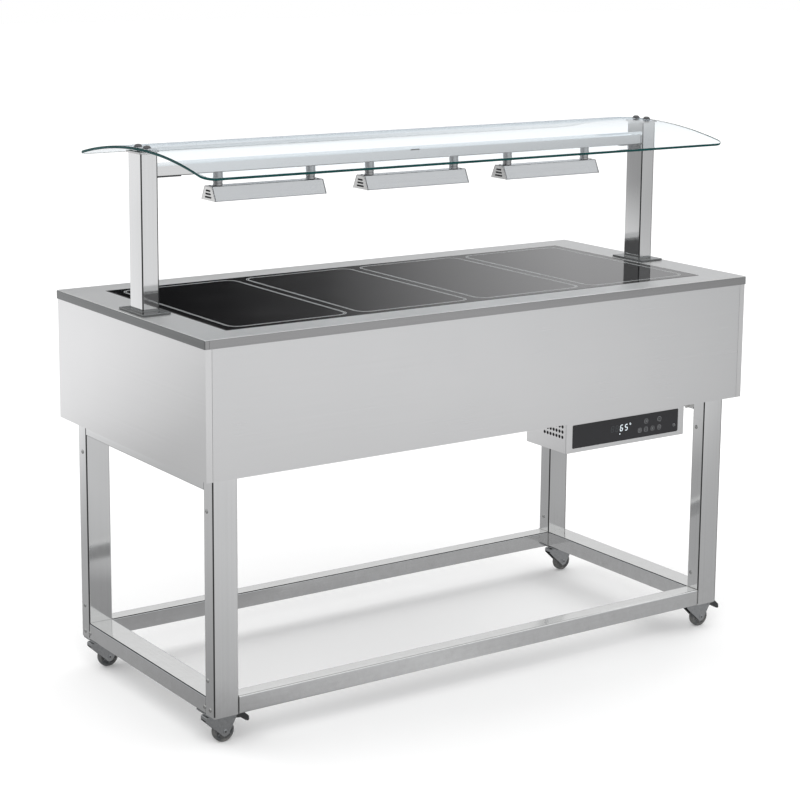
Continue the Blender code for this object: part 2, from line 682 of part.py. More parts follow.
def make_lamp(number, x):
    """A trapezoid hood, open below, on two round standoffs, with a heater rod inside."""
    top, bottom = LAMP_TOP_DEPTH / 2, LAMP_BOTTOM_DEPTH / 2
    low = LAMP_TOP - LAMP_HEIGHT
    hood = [(-bottom, low), (bottom, low), (top, LAMP_TOP), (-top, LAMP_TOP)]
    name = f"lamp_housing_{number}"
    housing = prism(name, (hood,), LAMP_LENGTH, ALONG_X, (x, 0, 0), SATIN_STEEL)
    roof = LAMP_TOP - LAMP_SHEET
    slope = (bottom - top) / LAMP_HEIGHT
    wall = LAMP_SHEET * math.hypot(1, slope)
    roof_half = top + slope * LAMP_SHEET - wall
    floor_half = bottom + slope * SPARE - wall
    hollow = [
        (-floor_half, low - SPARE), (floor_half, low - SPARE), (roof_half, roof), (-roof_half, roof)
    ]
    inner_length = LAMP_LENGTH - 2 * LAMP_SHEET
    cut(housing, prism(
        name + "_hollow", (hollow,), inner_length, ALONG_X, (x, 0, 0), None, CUTTERS
    ))
    axis_z = roof - HEATER_DROP
    heater = cylinder(
        f"lamp_heater_{number}", (x, 0, axis_z), HEATER_RADIUS, HEATER_LENGTH, ALONG_X, 12,
        QUARTZ, PARTS,
    )
    for end in (-1, 1):
        clip_x = x + end * (HEATER_LENGTH / 2 - HEATER_CLIP)
        half = HEATER_CLIP / 2
        join(heater, box(
            f"heater_clip_{number}_{end}",
            (clip_x - half, -half, axis_z),
            (clip_x + half, half, roof - SEAT_GAP),
            collection=CUTTERS,
        ))
    half_length = STANDOFF_LENGTH / 2 - SEAT_GAP
    chamfer = STANDOFF_CHAMFER
    profile = [
        (0, half_length), (STANDOFF_RADIUS - chamfer, half_length),
        (STANDOFF_RADIUS, half_length - chamfer), (STANDOFF_RADIUS, -half_length + chamfer),
        (STANDOFF_RADIUS - chamfer, -half_length), (0, -half_length),
    ]
    for side_name, side in (("left", -1), ("right", 1)):
        middle = (x + side * STANDOFF_SPACING / 2, 0, LAMP_TOP + STANDOFF_LENGTH / 2)
        standoff = f"lamp_standoff_{number}_{side_name}"
        turned(standoff, profile, middle, ALONG_Z, 16, POLISHED_STEEL)


def make_lamps():
    for i in range(LAMP_COUNT):
        make_lamp(i + 1, (i - (LAMP_COUNT - 1) / 2) * LAMP_PITCH)


def make_control_box():
    """A sheet box, open in front, with vent holes in its left side and holes in its back."""
    wall = CONTROL_SHEET
    case = box(
        "control_box",
        (CONTROL_LEFT, BOX_FRONT, CONTROL_BOTTOM),
        (CONTROL_RIGHT, CONTROL_REAR, FRAME_TOP),
        SATIN_STEEL,
    )
    cut(case, box(
        "control_box_hollow",
        (CONTROL_LEFT + wall, BOX_FRONT - SPARE, CONTROL_BOTTOM + wall),
        (CONTROL_RIGHT - wall, CONTROL_REAR - wall, FRAME_TOP - wall),
        collection=CUTTERS,
    ))
    bm = bmesh.new()
    turn = Matrix.Rotation(math.pi / 2, 4, "Y")
    for row in range(VENT_ROWS):
        for column in range(VENT_COLUMNS):
            y = BOX_FRONT + VENT_FROM_FRONT + column * VENT_PITCH_Y
            z = FRAME_TOP - VENT_FROM_TOP - row * VENT_PITCH_Z
            bmesh.ops.create_cone(
                bm, cap_ends=True, segments=8, radius1=VENT_RADIUS, radius2=VENT_RADIUS,
                depth=6 * wall, matrix=Matrix.Translation((CONTROL_LEFT, y, z)) @ turn,
            )
    cut(case, mesh_object("control_box_vents", bm, CUTTERS, None, (0, 0, 0)))
    back = CONTROL_REAR - wall / 2
    middle_z = (CONTROL_BOTTOM + FRAME_TOP) / 2
    fan_hole = (CONTROL_RIGHT - FAN_INSET, back, middle_z)
    cut(case, cylinder(
        "control_box_fan_hole", fan_hole, FAN_SIZE / 2 - FAN_STRUT, 4 * wall, ALONG_Y, 20
    ))
    gland_hole = (CONTROL_LEFT + GLAND_INSET, back, middle_z)
    cut(case, cylinder(
        "control_box_gland_hole", gland_hole, GLAND_NECK + SHAFT_GAP, 4 * wall, ALONG_Y, 20
    ))


def make_front_panel():
    top = SKIRT_BOTTOM - SEAT_GAP
    panel = box(
        "control_front_panel",
        (CONTROL_LEFT, CONTROL_FRONT, CONTROL_BOTTOM),
        (CONTROL_RIGHT, CONTROL_FRONT + FRONT_PANEL_THICKNESS, top),
        SATIN_STEEL,
    )
    middle_x = (CONTROL_LEFT + CONTROL_RIGHT) / 2
    low = (middle_x - TOUCH_WIDTH / 2, CONTROL_FRONT, CONTROL_BOTTOM + TOUCH_LIFT)
    high = (low[0] + TOUCH_WIDTH, CONTROL_FRONT + TOUCH_THICKNESS, low[2] + TOUCH_HEIGHT)
    cut(panel, box(
        "touch_recess",
        (low[0] - SEAT_GAP, CONTROL_FRONT - SPARE, low[2] - SEAT_GAP),
        (high[0] + SEAT_GAP, high[1] + SEAT_GAP, high[2] + SEAT_GAP),
        collection=CUTTERS,
    ))
    box("touch_panel", low, high, BLACK_GLOSS)


def make_power_board():
    """A circuit board on four spacers, with a heat sink and two capacitors."""
    low_x = CONTROL_LEFT + GLAND_INSET - BOARD_DEPTH / 2
    low_y = BOX_FRONT + VENT_FROM_FRONT
    floor = CONTROL_BOTTOM + CONTROL_SHEET + SEAT_GAP
    board_z = floor + BOARD_LIFT
    top_z = board_z + BOARD_THICKNESS
    board = box(
        "power_board",
        (low_x, low_y, board_z),
        (low_x + BOARD_LENGTH, low_y + BOARD_DEPTH, top_z),
        BOARD_GREEN,
    )
    inset, half = BOARD_HOLE_INSET, SPACER_HALF
    for x in (low_x + inset, low_x + BOARD_LENGTH - inset):
        for y in (low_y + inset, low_y + BOARD_DEPTH - inset):
            join(board, box(
                "board_spacer", (x - half, y - half, floor),
                (x + half, y + half, board_z + BOARD_THICKNESS / 2), collection=CUTTERS,
            ))
    join(board, box(
        "board_heat_sink",
        (low_x + BOARD_LENGTH * 0.45, low_y + inset * 2, board_z + BOARD_THICKNESS / 2),
        (low_x + BOARD_LENGTH * 0.9, low_y + BOARD_DEPTH - inset * 2, top_z + SINK_HEIGHT),
        collection=CUTTERS,
    ))
    for share in (0.15, 0.32):
        middle = (low_x + BOARD_LENGTH * share, low_y + BOARD_DEPTH / 2, top_z + SINK_HEIGHT / 3)
        can = cylinder(
            "board_capacitor", middle, CAPACITOR_RADIUS, SINK_HEIGHT * 0.75, ALONG_Z, 12
        )
        join(board, can)


def make_fan():
    """A square fan frame on the box's back wall, and its rotor on a short shaft."""
    x = CONTROL_RIGHT - FAN_INSET
    z = (CONTROL_BOTTOM + FRAME_TOP) / 2
    rear = CONTROL_REAR - CONTROL_SHEET - SEAT_GAP
    front = rear - FAN_DEPTH
    half = FAN_SIZE / 2
    bore = half - FAN_STRUT / 2
    frame = box("fan_frame", (x - half, front, z - half), (x + half, rear, z + half), BLACK_PLASTIC)
    cut(frame, cylinder(
        "fan_bore", (x, front + FAN_DEPTH / 2, z), bore, FAN_DEPTH + SPARE, ALONG_Y, 24
    ))
    strut_middle = rear - FAN_STRUT / 2
    for name, size in (("across", (half, FAN_STRUT / 2)), ("upright", (FAN_STRUT / 2, half))):
        join(frame, box(
            "fan_strut_" + name,
            (x - size[0] + SEAT_GAP, strut_middle - FAN_STRUT / 2, z - size[1] + SEAT_GAP),
            (x + size[0] - SEAT_GAP, strut_middle + FAN_STRUT / 2, z + size[1] - SEAT_GAP),
            collection=CUTTERS,
        ))
    join(frame, cylinder(
        "fan_motor", (x, strut_middle, z), FAN_HUB_RADIUS, FAN_STRUT - SEAT_GAP, ALONG_Y
    ))
    rotor_depth = FAN_DEPTH - FAN_STRUT - 2 * SIDE_GAP
    rotor_y = front + SIDE_GAP + rotor_depth / 2
    shaft_middle = (x, rear - FAN_STRUT / 2 - rotor_depth / 2, z)
    join(frame, cylinder(
        "fan_shaft", shaft_middle, FAN_SHAFT_RADIUS, rotor_depth, ALONG_Y, 12
    ))
    rotor = cylinder(
        "fan_rotor", (x, rotor_y, z), FAN_HUB_RADIUS, rotor_depth, ALONG_Y, 20,
        BLACK_PLASTIC, PARTS,
    )
    tip = bore - FAN_TIP_GAP
    root = FAN_HUB_RADIUS * 0.8
    for i in range(FAN_BLADES):
        angle = 2 * math.pi * i / FAN_BLADES
        turn = Matrix.Rotation(angle, 4, "Y")
        pitch = Matrix.Rotation(math.radians(FAN_BLADE_PITCH), 4, "X")
        reach = Matrix.Translation(((root + tip) / 2, 0, 0))
        size = Matrix.Diagonal((tip - root, FAN_BLADE_SHEET, rotor_depth, 1))
        bm = bmesh.new()
        bmesh.ops.create_cube(bm, size=1.0, matrix=turn @ reach @ pitch @ size)
        join(rotor, mesh_object(f"fan_blade_{i}", bm, CUTTERS, None, (x, rotor_y, z)))
    cut(rotor, cylinder(
        "fan_rotor_bore", (x, rotor_y, z), FAN_SHAFT_RADIUS + SHAFT_GAP,
        rotor_depth + SPARE, ALONG_Y, 12,
    ))


def make_gland():
    """A cable gland through the box's back wall, with an open bore."""
    neck_length = 3 * CONTROL_SHEET
    half = GLAND_LENGTH / 2
    nut_radius, nut_tip = GLAND_RADIUS * 0.9, GLAND_RADIUS * 0.7
    profile = [
        (GLAND_BORE, half), (nut_tip, half), (nut_radius, half - GLAND_NUT_TAPER),
        (nut_radius, half - GLAND_NUT_LENGTH), (GLAND_RADIUS, half - GLAND_NUT_LENGTH),
        (GLAND_RADIUS, -half + neck_length), (GLAND_NECK, -half + neck_length),
        (GLAND_NECK, -half), (GLAND_BORE, -half),
    ]
    x = CONTROL_LEFT + GLAND_INSET
    z = (CONTROL_BOTTOM + FRAME_TOP) / 2
    y = CONTROL_REAR + SEAT_GAP + half - neck_length
    facing_rear = (-math.pi / 2, 0, 0)
    turned("cable_gland", profile, (x, y, z), facing_rear, 16, BLACK_PLASTIC, ring=True)


def fork_outline():
    """Side view of the fork: a wide top that narrows to an eye round the axle."""
    top = FORK_TOP
    eye = (TRAIL, WHEEL_RADIUS)
    return (
        [(FORK_NOSE, top), (-FORK_REAR, top), (-FORK_REAR, top - FORK_REAR_EDGE)]
        + arc(eye, FORK_EYE, 214, 334, 8)
        + [(FORK_NOSE, top - FORK_NOSE_EDGE)]
    )


def make_castor(name, x, y, braked):
    """A swivel castor: a fixed plate with its kingpin, a fork with its axle, and a wheel."""
    half_width = LEG_WIDTH / 2
    half_length = CASTOR_PLATE_LENGTH / 2
    plate_bottom = CASTOR_TOP - CASTOR_PLATE
    plate = box(
        "castor_plate_" + name,
        (x - half_width, y - half_length, plate_bottom),
        (x + half_width, y + half_length, CASTOR_TOP),
        ZINC,
    )
    head_top = FORK_TOP - FORK_SHEET - SEAT_GAP
    head_bottom = head_top - KINGPIN_HEAD
    spindle = [
        (0, plate_bottom + CASTOR_PLATE / 2), (RACE_RADIUS, plate_bottom + CASTOR_PLATE / 2),
        (RACE_RADIUS, RACE_BOTTOM), (KINGPIN_RADIUS, RACE_BOTTOM), (KINGPIN_RADIUS, head_top),
        (KINGPIN_HEAD_RADIUS, head_top), (KINGPIN_HEAD_RADIUS, head_bottom), (0, head_bottom),
    ]
    join(plate, turned(name + "_kingpin", spindle, (x, y, 0), ALONG_Z, 20, None, CUTTERS))

    half_fork = FORK_INSIDE + FORK_SHEET
    channel = [
        (-half_fork, 0), (-FORK_INSIDE, 0), (-FORK_INSIDE, FORK_TOP - FORK_SHEET),
        (FORK_INSIDE, FORK_TOP - FORK_SHEET), (FORK_INSIDE, 0), (half_fork, 0),
        (half_fork, FORK_TOP), (-half_fork, FORK_TOP),
    ]
    fork = prism(
        "castor_fork_" + name, (channel,), 2 * (FORK_NOSE + SPARE), ALONG_X, (x, y, 0), ZINC
    )
    side = prism(
        name + "_fork_side", (fork_outline(),), 2 * (half_fork + SPARE), ALONG_Y, (x, y, 0),
        None, CUTTERS,
    )
    keep_common(fork, side)
    cut(fork, cylinder(
        name + "_kingpin_hole", (x, y, FORK_TOP), KINGPIN_RADIUS + SHAFT_GAP,
        4 * FORK_SHEET, ALONG_Z, 20,
    ))
    axle = (x + TRAIL, y, WHEEL_RADIUS)
    pin_length = 2 * (half_fork + RIVET_HEAD)
    join(fork, cylinder(name + "_axle", axle, AXLE_RADIUS, pin_length, ALONG_Y))
    pin = (x + FORK_NOSE - PEDAL_PIN_BACK, y, FORK_TOP - PEDAL_PIN_DROP)
    slot_start = RACE_RADIUS + SEAT_GAP
    if braked:
        cut(fork, box(
            name + "_pedal_slot",
            (x + slot_start, y - FORK_INSIDE, FORK_TOP - 2 * FORK_SHEET),
            (x + FORK_NOSE + SPARE, y + FORK_INSIDE, FORK_TOP + SPARE),
            collection=CUTTERS,
        ))
        join(fork, cylinder(name + "_pedal_pin", pin, PEDAL_PIN_RADIUS, pin_length, ALONG_Y, 12))

    half = WHEEL_WIDTH / 2
    hub = half + SIDE_GAP / 2
    bore = AXLE_RADIUS + SHAFT_GAP
    shoulder = TREAD_SHOULDER
    tread = [
        (bore, hub), (HUB_RADIUS, hub), (HUB_RADIUS, half - shoulder / 2),
        (WHEEL_RADIUS - 2 * shoulder, half - shoulder / 2), (WHEEL_RADIUS - shoulder, half),
        (WHEEL_RADIUS, half - shoulder),
    ]
    profile = tread + [(radius, -height) for radius, height in reversed(tread)]
    wheel = turned("castor_wheel_" + name, profile, axle, ALONG_Y, 28, GREY_RUBBER, ring=True)
    wheel.parent = fork
    wheel.matrix_parent_inverse = fork_matrix(x, y).inverted()
    if braked:
        make_pedal(name, pin, fork, x, y)


def fork_matrix(x, y):
    """Where a fork stands: its outline is drawn out along X from its swivel axis."""
    turn = Matrix.Rotation(math.pi / 2, 4, "Z") @ Matrix.Rotation(math.pi / 2, 4, "X")
    return Matrix.Translation((x, y, 0)) @ turn


def make_pedal(name, pin, fork, x, y):
    """A brake lever on its own pin between the fork's sides, with a shoe above the wheel."""
    run = FORK_NOSE - PEDAL_PIN_BACK - TRAIL
    rise = FORK_TOP - PEDAL_PIN_DROP - WHEEL_RADIUS
    slant = math.degrees(math.atan2(-rise, -run))
    shoe = math.hypot(run, rise) - WHEEL_RADIUS - PEDAL_SHOE_GAP
    shoe_half = math.degrees(PEDAL_SHOE_HALF / shoe)
    top = PEDAL_PIN_DROP - PEDAL_SHOE_GAP
    tip_drop = 3 * PEDAL_THICKNESS
    outline = arc((0, 0), shoe, slant - shoe_half, slant + shoe_half, 1) + [
        (PEDAL_SHOE_HALF, -PEDAL_THICKNESS - 0.001), (PEDAL_REACH * 0.4, -PEDAL_THICKNESS),
        (PEDAL_REACH - PEDAL_THICKNESS, -tip_drop - PEDAL_THICKNESS / 2),
        (PEDAL_REACH, -tip_drop), (PEDAL_REACH * 0.56, PEDAL_THICKNESS),
        (2 * PEDAL_THICKNESS, top), (0, top), (-PEDAL_THICKNESS, PEDAL_THICKNESS),
    ]
    width = 2 * (FORK_INSIDE - SIDE_GAP)
    pedal = prism("brake_pedal_" + name, (outline,), width, ALONG_Y, pin, BLACK_PLASTIC)
    cut(pedal, cylinder(
        name + "_pedal_bore", pin, PEDAL_PIN_RADIUS + SHAFT_GAP, 2 * width, ALONG_Y, 12
    ))
    pedal.parent = fork
    pedal.matrix_parent_inverse = fork_matrix(x, y).inverted()


def make_castors():
    for end_name, end in (("left", -1), ("right", 1)):
        x = end * (FRAME_X - LEG_WIDTH / 2)
        make_castor("front_" + end_name, x, -FRAME_Y + CASTOR_INSET, True)
        make_castor("rear_" + end_name, x, FRAME_Y - CASTOR_INSET, False)


def smooth_round_pieces():
    for obj in PARTS.objects:
        obj.data.shade_smooth()
        obj.data.set_sharp_from_angle(angle=math.radians(30))


make_stand()
make_worktop()
make_plate()
make_coils()
make_body()
make_gantry()
make_lamps()
make_control_box()
make_front_panel()
make_power_board()
make_fan()
make_gland()
make_castors()
smooth_round_pieces()
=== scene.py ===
import math

import bmesh
import bpy
import numpy as np
from mathutils import Matrix, Vector


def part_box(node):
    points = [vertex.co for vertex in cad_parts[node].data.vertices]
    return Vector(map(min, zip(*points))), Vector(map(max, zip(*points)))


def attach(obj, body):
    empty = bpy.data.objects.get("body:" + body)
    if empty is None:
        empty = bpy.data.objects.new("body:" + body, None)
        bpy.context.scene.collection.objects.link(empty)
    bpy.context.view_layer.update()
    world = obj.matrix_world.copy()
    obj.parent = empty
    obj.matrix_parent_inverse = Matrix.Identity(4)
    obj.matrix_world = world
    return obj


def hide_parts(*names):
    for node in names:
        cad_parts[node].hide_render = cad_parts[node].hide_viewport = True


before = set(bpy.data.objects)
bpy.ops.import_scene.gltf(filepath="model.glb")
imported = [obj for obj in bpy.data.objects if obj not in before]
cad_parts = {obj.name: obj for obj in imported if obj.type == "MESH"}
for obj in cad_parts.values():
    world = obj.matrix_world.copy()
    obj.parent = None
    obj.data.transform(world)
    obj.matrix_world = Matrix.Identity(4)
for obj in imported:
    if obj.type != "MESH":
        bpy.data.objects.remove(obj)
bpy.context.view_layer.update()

corners = ("front_left", "front_right", "rear_left", "rear_right")


def corner(node):
    # lowest and highest corner of a CAD node as two arrays
    low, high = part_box(node)
    return np.array(low), np.array(high)


# a shape is a pair: an array of points and a list of faces
def roundedLoop(halfX, halfY, radius, z=0.0, centre=(0.0, 0.0), steps=4):
    # four quarter circles of one radius about the inset corners, run round counter-clockwise
    turn = np.linspace(0, np.pi / 2, steps + 1)
    angle = (np.arange(4)[:, None] * np.pi / 2 + turn[None, :]).ravel()
    signX = np.repeat([1, -1, -1, 1], steps + 1)
    signY = np.repeat([1, 1, -1, -1], steps + 1)
    x = centre[0] + signX * (halfX - radius) + radius * np.cos(angle)
    y = centre[1] + signY * (halfY - radius) + radius * np.sin(angle)
    return np.stack([x, y, np.full_like(x, z)], axis=1)


def loft(rings, caps=True, around=False, strip=False):
    # rows of points joined by quads: point (i, j) to (i, j+1), (i+1, j+1), (i+1, j)
    rings = np.asarray(rings, float)
    rows, columns = rings.shape[:2]
    index = np.arange(rows * columns).reshape(rows, columns)
    if around:
        index = np.vstack([index, index[:1]])
    if not strip:
        index = np.hstack([index, index[:, :1]])
    quads = np.stack([index[:-1, :-1], index[:-1, 1:], index[1:, 1:], index[1:, :-1]], axis=-1)
    faces = quads.reshape(-1, 4).tolist()
    if caps and not around:
        faces.append(index[0, :columns][::-1].tolist())
        faces.append(index[-1, :columns].tolist())
    return rings.reshape(-1, 3), faces


def combine(*shapes):
    # all points in one array; each shape's faces count on from the points before it
    points, faces, count = [], [], 0
    for shapePoints, shapeFaces in shapes:
        points.append(shapePoints)
        faces += [[i + count for i in face] for face in shapeFaces]
        count += len(shapePoints)
    return np.vstack(points), faces


def aim(shape, axis, at=(0, 0, 0)):
    # a shape made along Z is turned to lie along the axis by moving its coordinates round
    points, faces = shape
    order = {"X": [2, 0, 1], "Y": [1, 2, 0], "Z": [0, 1, 2]}[axis]
    return points[:, order] + np.array(at, float), faces


def turn(shape, degrees, axis, at=(0, 0, 0)):
    # a turn about a line along the axis through the given place
    points, faces = shape
    matrix = np.array(Matrix.Rotation(math.radians(degrees), 3, axis))
    return (points - np.array(at)) @ matrix.T + np.array(at), faces


def shift(shape, by):
    # every point plus one step
    return shape[0] + np.array(by, float), shape[1]


def bar(low, high, axis="Z", radius=0.003, edge=0.0006, steps=4):
    # a rounded rectangle carried along the axis; its ends draw in over a quarter circle
    low, high = np.minimum(low, high), np.maximum(low, high)
    order = {"X": [1, 2, 0], "Y": [2, 0, 1], "Z": [0, 1, 2]}[axis]
    size = (high - low)[order]
    quarter = np.linspace(0, np.pi / 2, 4)
    inset = edge * (1 - np.sin(quarter))
    rise = edge * (1 - np.cos(quarter))
    ends = np.concatenate([-size[2] / 2 + rise, (size[2] / 2 - rise)[::-1]])
    insets = np.concatenate([inset, inset[::-1]])
    rings = [
        roundedLoop(size[0] / 2 - i, size[1] / 2 - i, max(radius - i, 1e-4), z, steps=steps)
        for i, z in zip(insets, ends)
    ]
    points, faces = aim(loft(rings), axis)
    return points + (high + low) / 2, faces


def openTube(low, high, axis="Z", radius=0.003, wall=0.002, steps=4):
    # outside rings, then inside rings one wall further in, joined back to the first
    low, high = np.minimum(low, high), np.maximum(low, high)
    order = {"X": [1, 2, 0], "Y": [2, 0, 1], "Z": [0, 1, 2]}[axis]
    x, y, z = (high - low)[order] / 2
    rings = [roundedLoop(x, y, radius, end, steps=steps) for end in (-z, z)]
    rings += [
        roundedLoop(x - wall, y - wall, max(radius - wall, 5e-4), end, steps=steps)
        for end in (z, -z)
    ]
    points, faces = aim(loft(rings, around=True), axis)
    return points + (high + low) / 2, faces


def turned(profile, steps=48, ring=False):
    # each radius and height pair is a circle about Z
    profile = np.array(profile, float)
    angle = np.arange(steps) * 2 * np.pi / steps
    x = profile[:, :1] * np.cos(angle)
    y = profile[:, :1] * np.sin(angle)
    z = np.repeat(profile[:, 1:], steps, axis=1)
    return loft(np.stack([x, y, z], axis=-1), caps=not ring, around=ring)


def sweep(path, radius, steps=10, closed=False):
    # a circle carried square to a path: tangent by differences, side square to a fixed vector
    path = np.asarray(path, float)
    if closed:
        tangent = np.roll(path, -1, axis=0) - np.roll(path, 1, axis=0)
    else:
        tangent = np.gradient(path, axis=0)
    tangent /= np.linalg.norm(tangent, axis=1)[:, None]
    away = np.array([0.31, 0.17, 0.93])
    side = np.cross(tangent, away)
    side /= np.linalg.norm(side, axis=1)[:, None]
    up = np.cross(side, tangent)
    angle = np.arange(steps) * 2 * np.pi / steps
    rings = path[:, None] + radius * (
        side[:, None] * np.cos(angle)[None, :, None] + up[:, None] * np.sin(angle)[None, :, None]
    )
    return loft(rings, caps=not closed, around=closed)


def extruded(outline, thickness, axis, at, edge=0.0):
    # a flat outline drawn out both ways; the faces draw in a little towards the ends
    outline = np.array(outline, float)
    if edge:
        before = outline - np.roll(outline, 1, axis=0)
        after = np.roll(outline, -1, axis=0) - outline
        before /= np.linalg.norm(before, axis=1)[:, None]
        after /= np.linalg.norm(after, axis=1)[:, None]
        normal = before + after
        normal = np.stack([normal[:, 1], -normal[:, 0]], axis=1)
        normal /= np.maximum(np.linalg.norm(normal, axis=1)[:, None], 1e-9)
        area = np.sum(outline[:, 0] * np.roll(outline[:, 1], -1)
                      - np.roll(outline[:, 0], -1) * outline[:, 1])
        normal *= np.sign(area)
        levels = [(-0.5, edge, 0), (-0.5, edge * 0.3, edge * 0.3), (-0.5, 0, edge),
                  (0.5, 0, -edge), (0.5, edge * 0.3, -edge * 0.3), (0.5, edge, 0)]
    else:
        normal = np.zeros_like(outline)
        levels = [(-0.5, 0, 0), (0.5, 0, 0)]
    rings = [
        np.column_stack([outline - normal * inset,
                         np.full(len(outline), share * thickness + step)])
        for share, inset, step in levels
    ]
    return aim(loft(rings), axis, at)


def arcPoints(centre, radius, start, end, steps):
    # centre plus radius times cosine and sine, in even steps of angle
    angle = np.radians(np.linspace(start, end, steps + 1))
    return np.column_stack([centre[0] + radius * np.cos(angle),
                            centre[1] + radius * np.sin(angle)])


def holedPlate(outline, holes, thickness, axis, at, bevel=0.0002):
    # a flat filled curve with holes, drawn out to a thickness, as a shape
    curve = bpy.data.curves.new("holedPlate", "CURVE")
    curve.dimensions = "2D"
    curve.fill_mode = "BOTH"
    curve.extrude = thickness / 2 - bevel
    curve.bevel_depth = bevel
    curve.bevel_resolution = 1
    curve.offset = -bevel
    for loopPoints in [outline] + list(holes):
        spline = curve.splines.new("POLY")
        spline.points.add(len(loopPoints) - 1)
        padded = np.column_stack([loopPoints, np.zeros(len(loopPoints)), np.ones(len(loopPoints))])
        spline.points.foreach_set("co", padded.ravel())
        spline.use_cyclic_u = True
    drawn = bpy.data.objects.new("holedPlate", curve)
    bpy.context.scene.collection.objects.link(drawn)
    mesh = bpy.data.meshes.new_from_object(
        drawn.evaluated_get(bpy.context.evaluated_depsgraph_get())
    )
    points = np.empty(len(mesh.vertices) * 3)
    mesh.vertices.foreach_get("co", points)
    faces = [list(polygon.vertices) for polygon in mesh.polygons]
    bpy.data.objects.remove(drawn)
    bpy.data.meshes.remove(mesh)
    bpy.data.curves.remove(curve)
    return aim((points.reshape(-1, 3), faces), axis, at)


def makePiece(name, shapes, material, body="root", replaces=(), sharp=32):
    # joins shapes in one mesh, merges doubles, turns the faces outwards and hangs the
    # piece on a body
    points, faces = combine(*shapes)
    mesh = bpy.data.meshes.new(name)
    mesh.from_pydata(points.tolist(), [], faces)
    work = bmesh.new()
    work.from_mesh(mesh)
    bmesh.ops.remove_doubles(work, verts=work.verts, dist=2e-6)
    bmesh.ops.recalc_face_normals(work, faces=work.faces)
    work.to_mesh(mesh)
    work.free()
    mesh.shade_smooth()
    mesh.set_sharp_from_angle(angle=math.radians(sharp))
    piece = bpy.data.objects.new(name, mesh)
    bpy.context.scene.collection.objects.link(piece)
    mesh.materials.append(material)
    # wide flat faces keep their own direction beside narrow rounded ones
    weighted = piece.modifiers.new("flatFaces", "WEIGHTED_NORMAL")
    weighted.mode = "FACE_AREA"
    weighted.keep_sharp = True
    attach(piece, body)
    if replaces:
        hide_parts(*replaces)
    return piece


def facePlaces(piece):
    # the middle and the outward direction of every face, one row each
    polygons = piece.data.polygons
    rows = []
    for field in ("center", "normal"):
        values = np.empty(len(polygons) * 3)
        polygons.foreach_get(field, values)
        rows.append(values.reshape(-1, 3))
    return rows


def paintFaces(piece, index, *materials):
    # index 0 keeps the piece's own material, 1 and up take the ones given
    for material in materials:
        piece.data.materials.append(material)
    piece.data.polygons.foreach_set("material_index", np.asarray(index, np.int32))


# a short way to lay nodes in a tree and link them
class GroupBuilder:
    def __init__(self, tree):
        self.tree = tree

    def node(self, kind, **settings):
        made = self.tree.nodes.new(kind)
        for key, value in settings.items():
            setattr(made, key, value)
        return made

    def link(self, source, target):
        self.tree.links.new(source, target)

    def math(self, operation, first, second=None, third=None, clamp=False):
        made = self.node("ShaderNodeMath", operation=operation, use_clamp=clamp)
        for socket, value in zip(made.inputs, (first, second, third)):
            self.feed(socket, value)
        return made.outputs[0]

    def feed(self, socket, value):
        if value is None:
            return
        if hasattr(value, "is_output"):
            self.link(value, socket)
        else:
            socket.default_value = value

    def spread(self, value, low, high, toLow, toHigh):
        made = self.node("ShaderNodeMapRange")
        for socket, item in zip(made.inputs, (value, low, high, toLow, toHigh)):
            self.feed(socket, item)
        return made.outputs[0]

    def noise(self, vector, scale, detail=4.0, roughness=0.6):
        made = self.node("ShaderNodeTexNoise")
        self.feed(made.inputs["Vector"], vector)
        self.feed(made.inputs["Scale"], scale)
        made.inputs["Detail"].default_value = detail
        made.inputs["Roughness"].default_value = roughness
        return made.outputs[0]


def newGroup(name, inputs, outputs):
    tree = bpy.data.node_groups.new(name, "ShaderNodeTree")
    for label, kind, value in inputs:
        socket = tree.interface.new_socket(label, in_out="INPUT", socket_type=kind)
        if value is not None:
            socket.default_value = value
    for label, kind in outputs:
        tree.interface.new_socket(label, in_out="OUTPUT", socket_type=kind)
    builder = GroupBuilder(tree)
    return tree, builder, builder.node("NodeGroupInput"), builder.node("NodeGroupOutput")


def buildBrushedGrain():
    # long fine scratches: noise on coordinates stretched along the grain, at two finenesses
    tree, builder, inside, outside = newGroup(
        "brushedGrain",
        [("Vector", "NodeSocketVector", None), ("Stretch", "NodeSocketVector", (4, 900, 900)),
         ("Roughness", "NodeSocketFloat", 0.3), ("Variation", "NodeSocketFloat", 0.08)],
        [("Roughness", "NodeSocketFloat"), ("Height", "NodeSocketFloat"),
         ("Tone", "NodeSocketFloat")],
    )
    stretch = builder.node("ShaderNodeVectorMath", operation="MULTIPLY")
    builder.link(inside.outputs["Vector"], stretch.inputs[0])
    builder.link(inside.outputs["Stretch"], stretch.inputs[1])
    fine = builder.noise(stretch.outputs[0], 1.0, 3.0)
    coarse = builder.noise(stretch.outputs[0], 0.23, 4.0)
    height = builder.math("ADD", builder.math("MULTIPLY", fine, 0.6),
                          builder.math("MULTIPLY", coarse, 0.4))
    centred = builder.math("SUBTRACT", height, 0.5)
    shifted = builder.math("MULTIPLY", centred, inside.outputs["Variation"])
    rough = builder.math("MULTIPLY_ADD", shifted, 2.0, inside.outputs["Roughness"])
    builder.link(rough, outside.inputs["Roughness"])
    builder.link(height, outside.inputs["Height"])
    builder.link(builder.spread(coarse, 0.3, 0.7, 0.0, 1.0), outside.inputs["Tone"])
    return tree


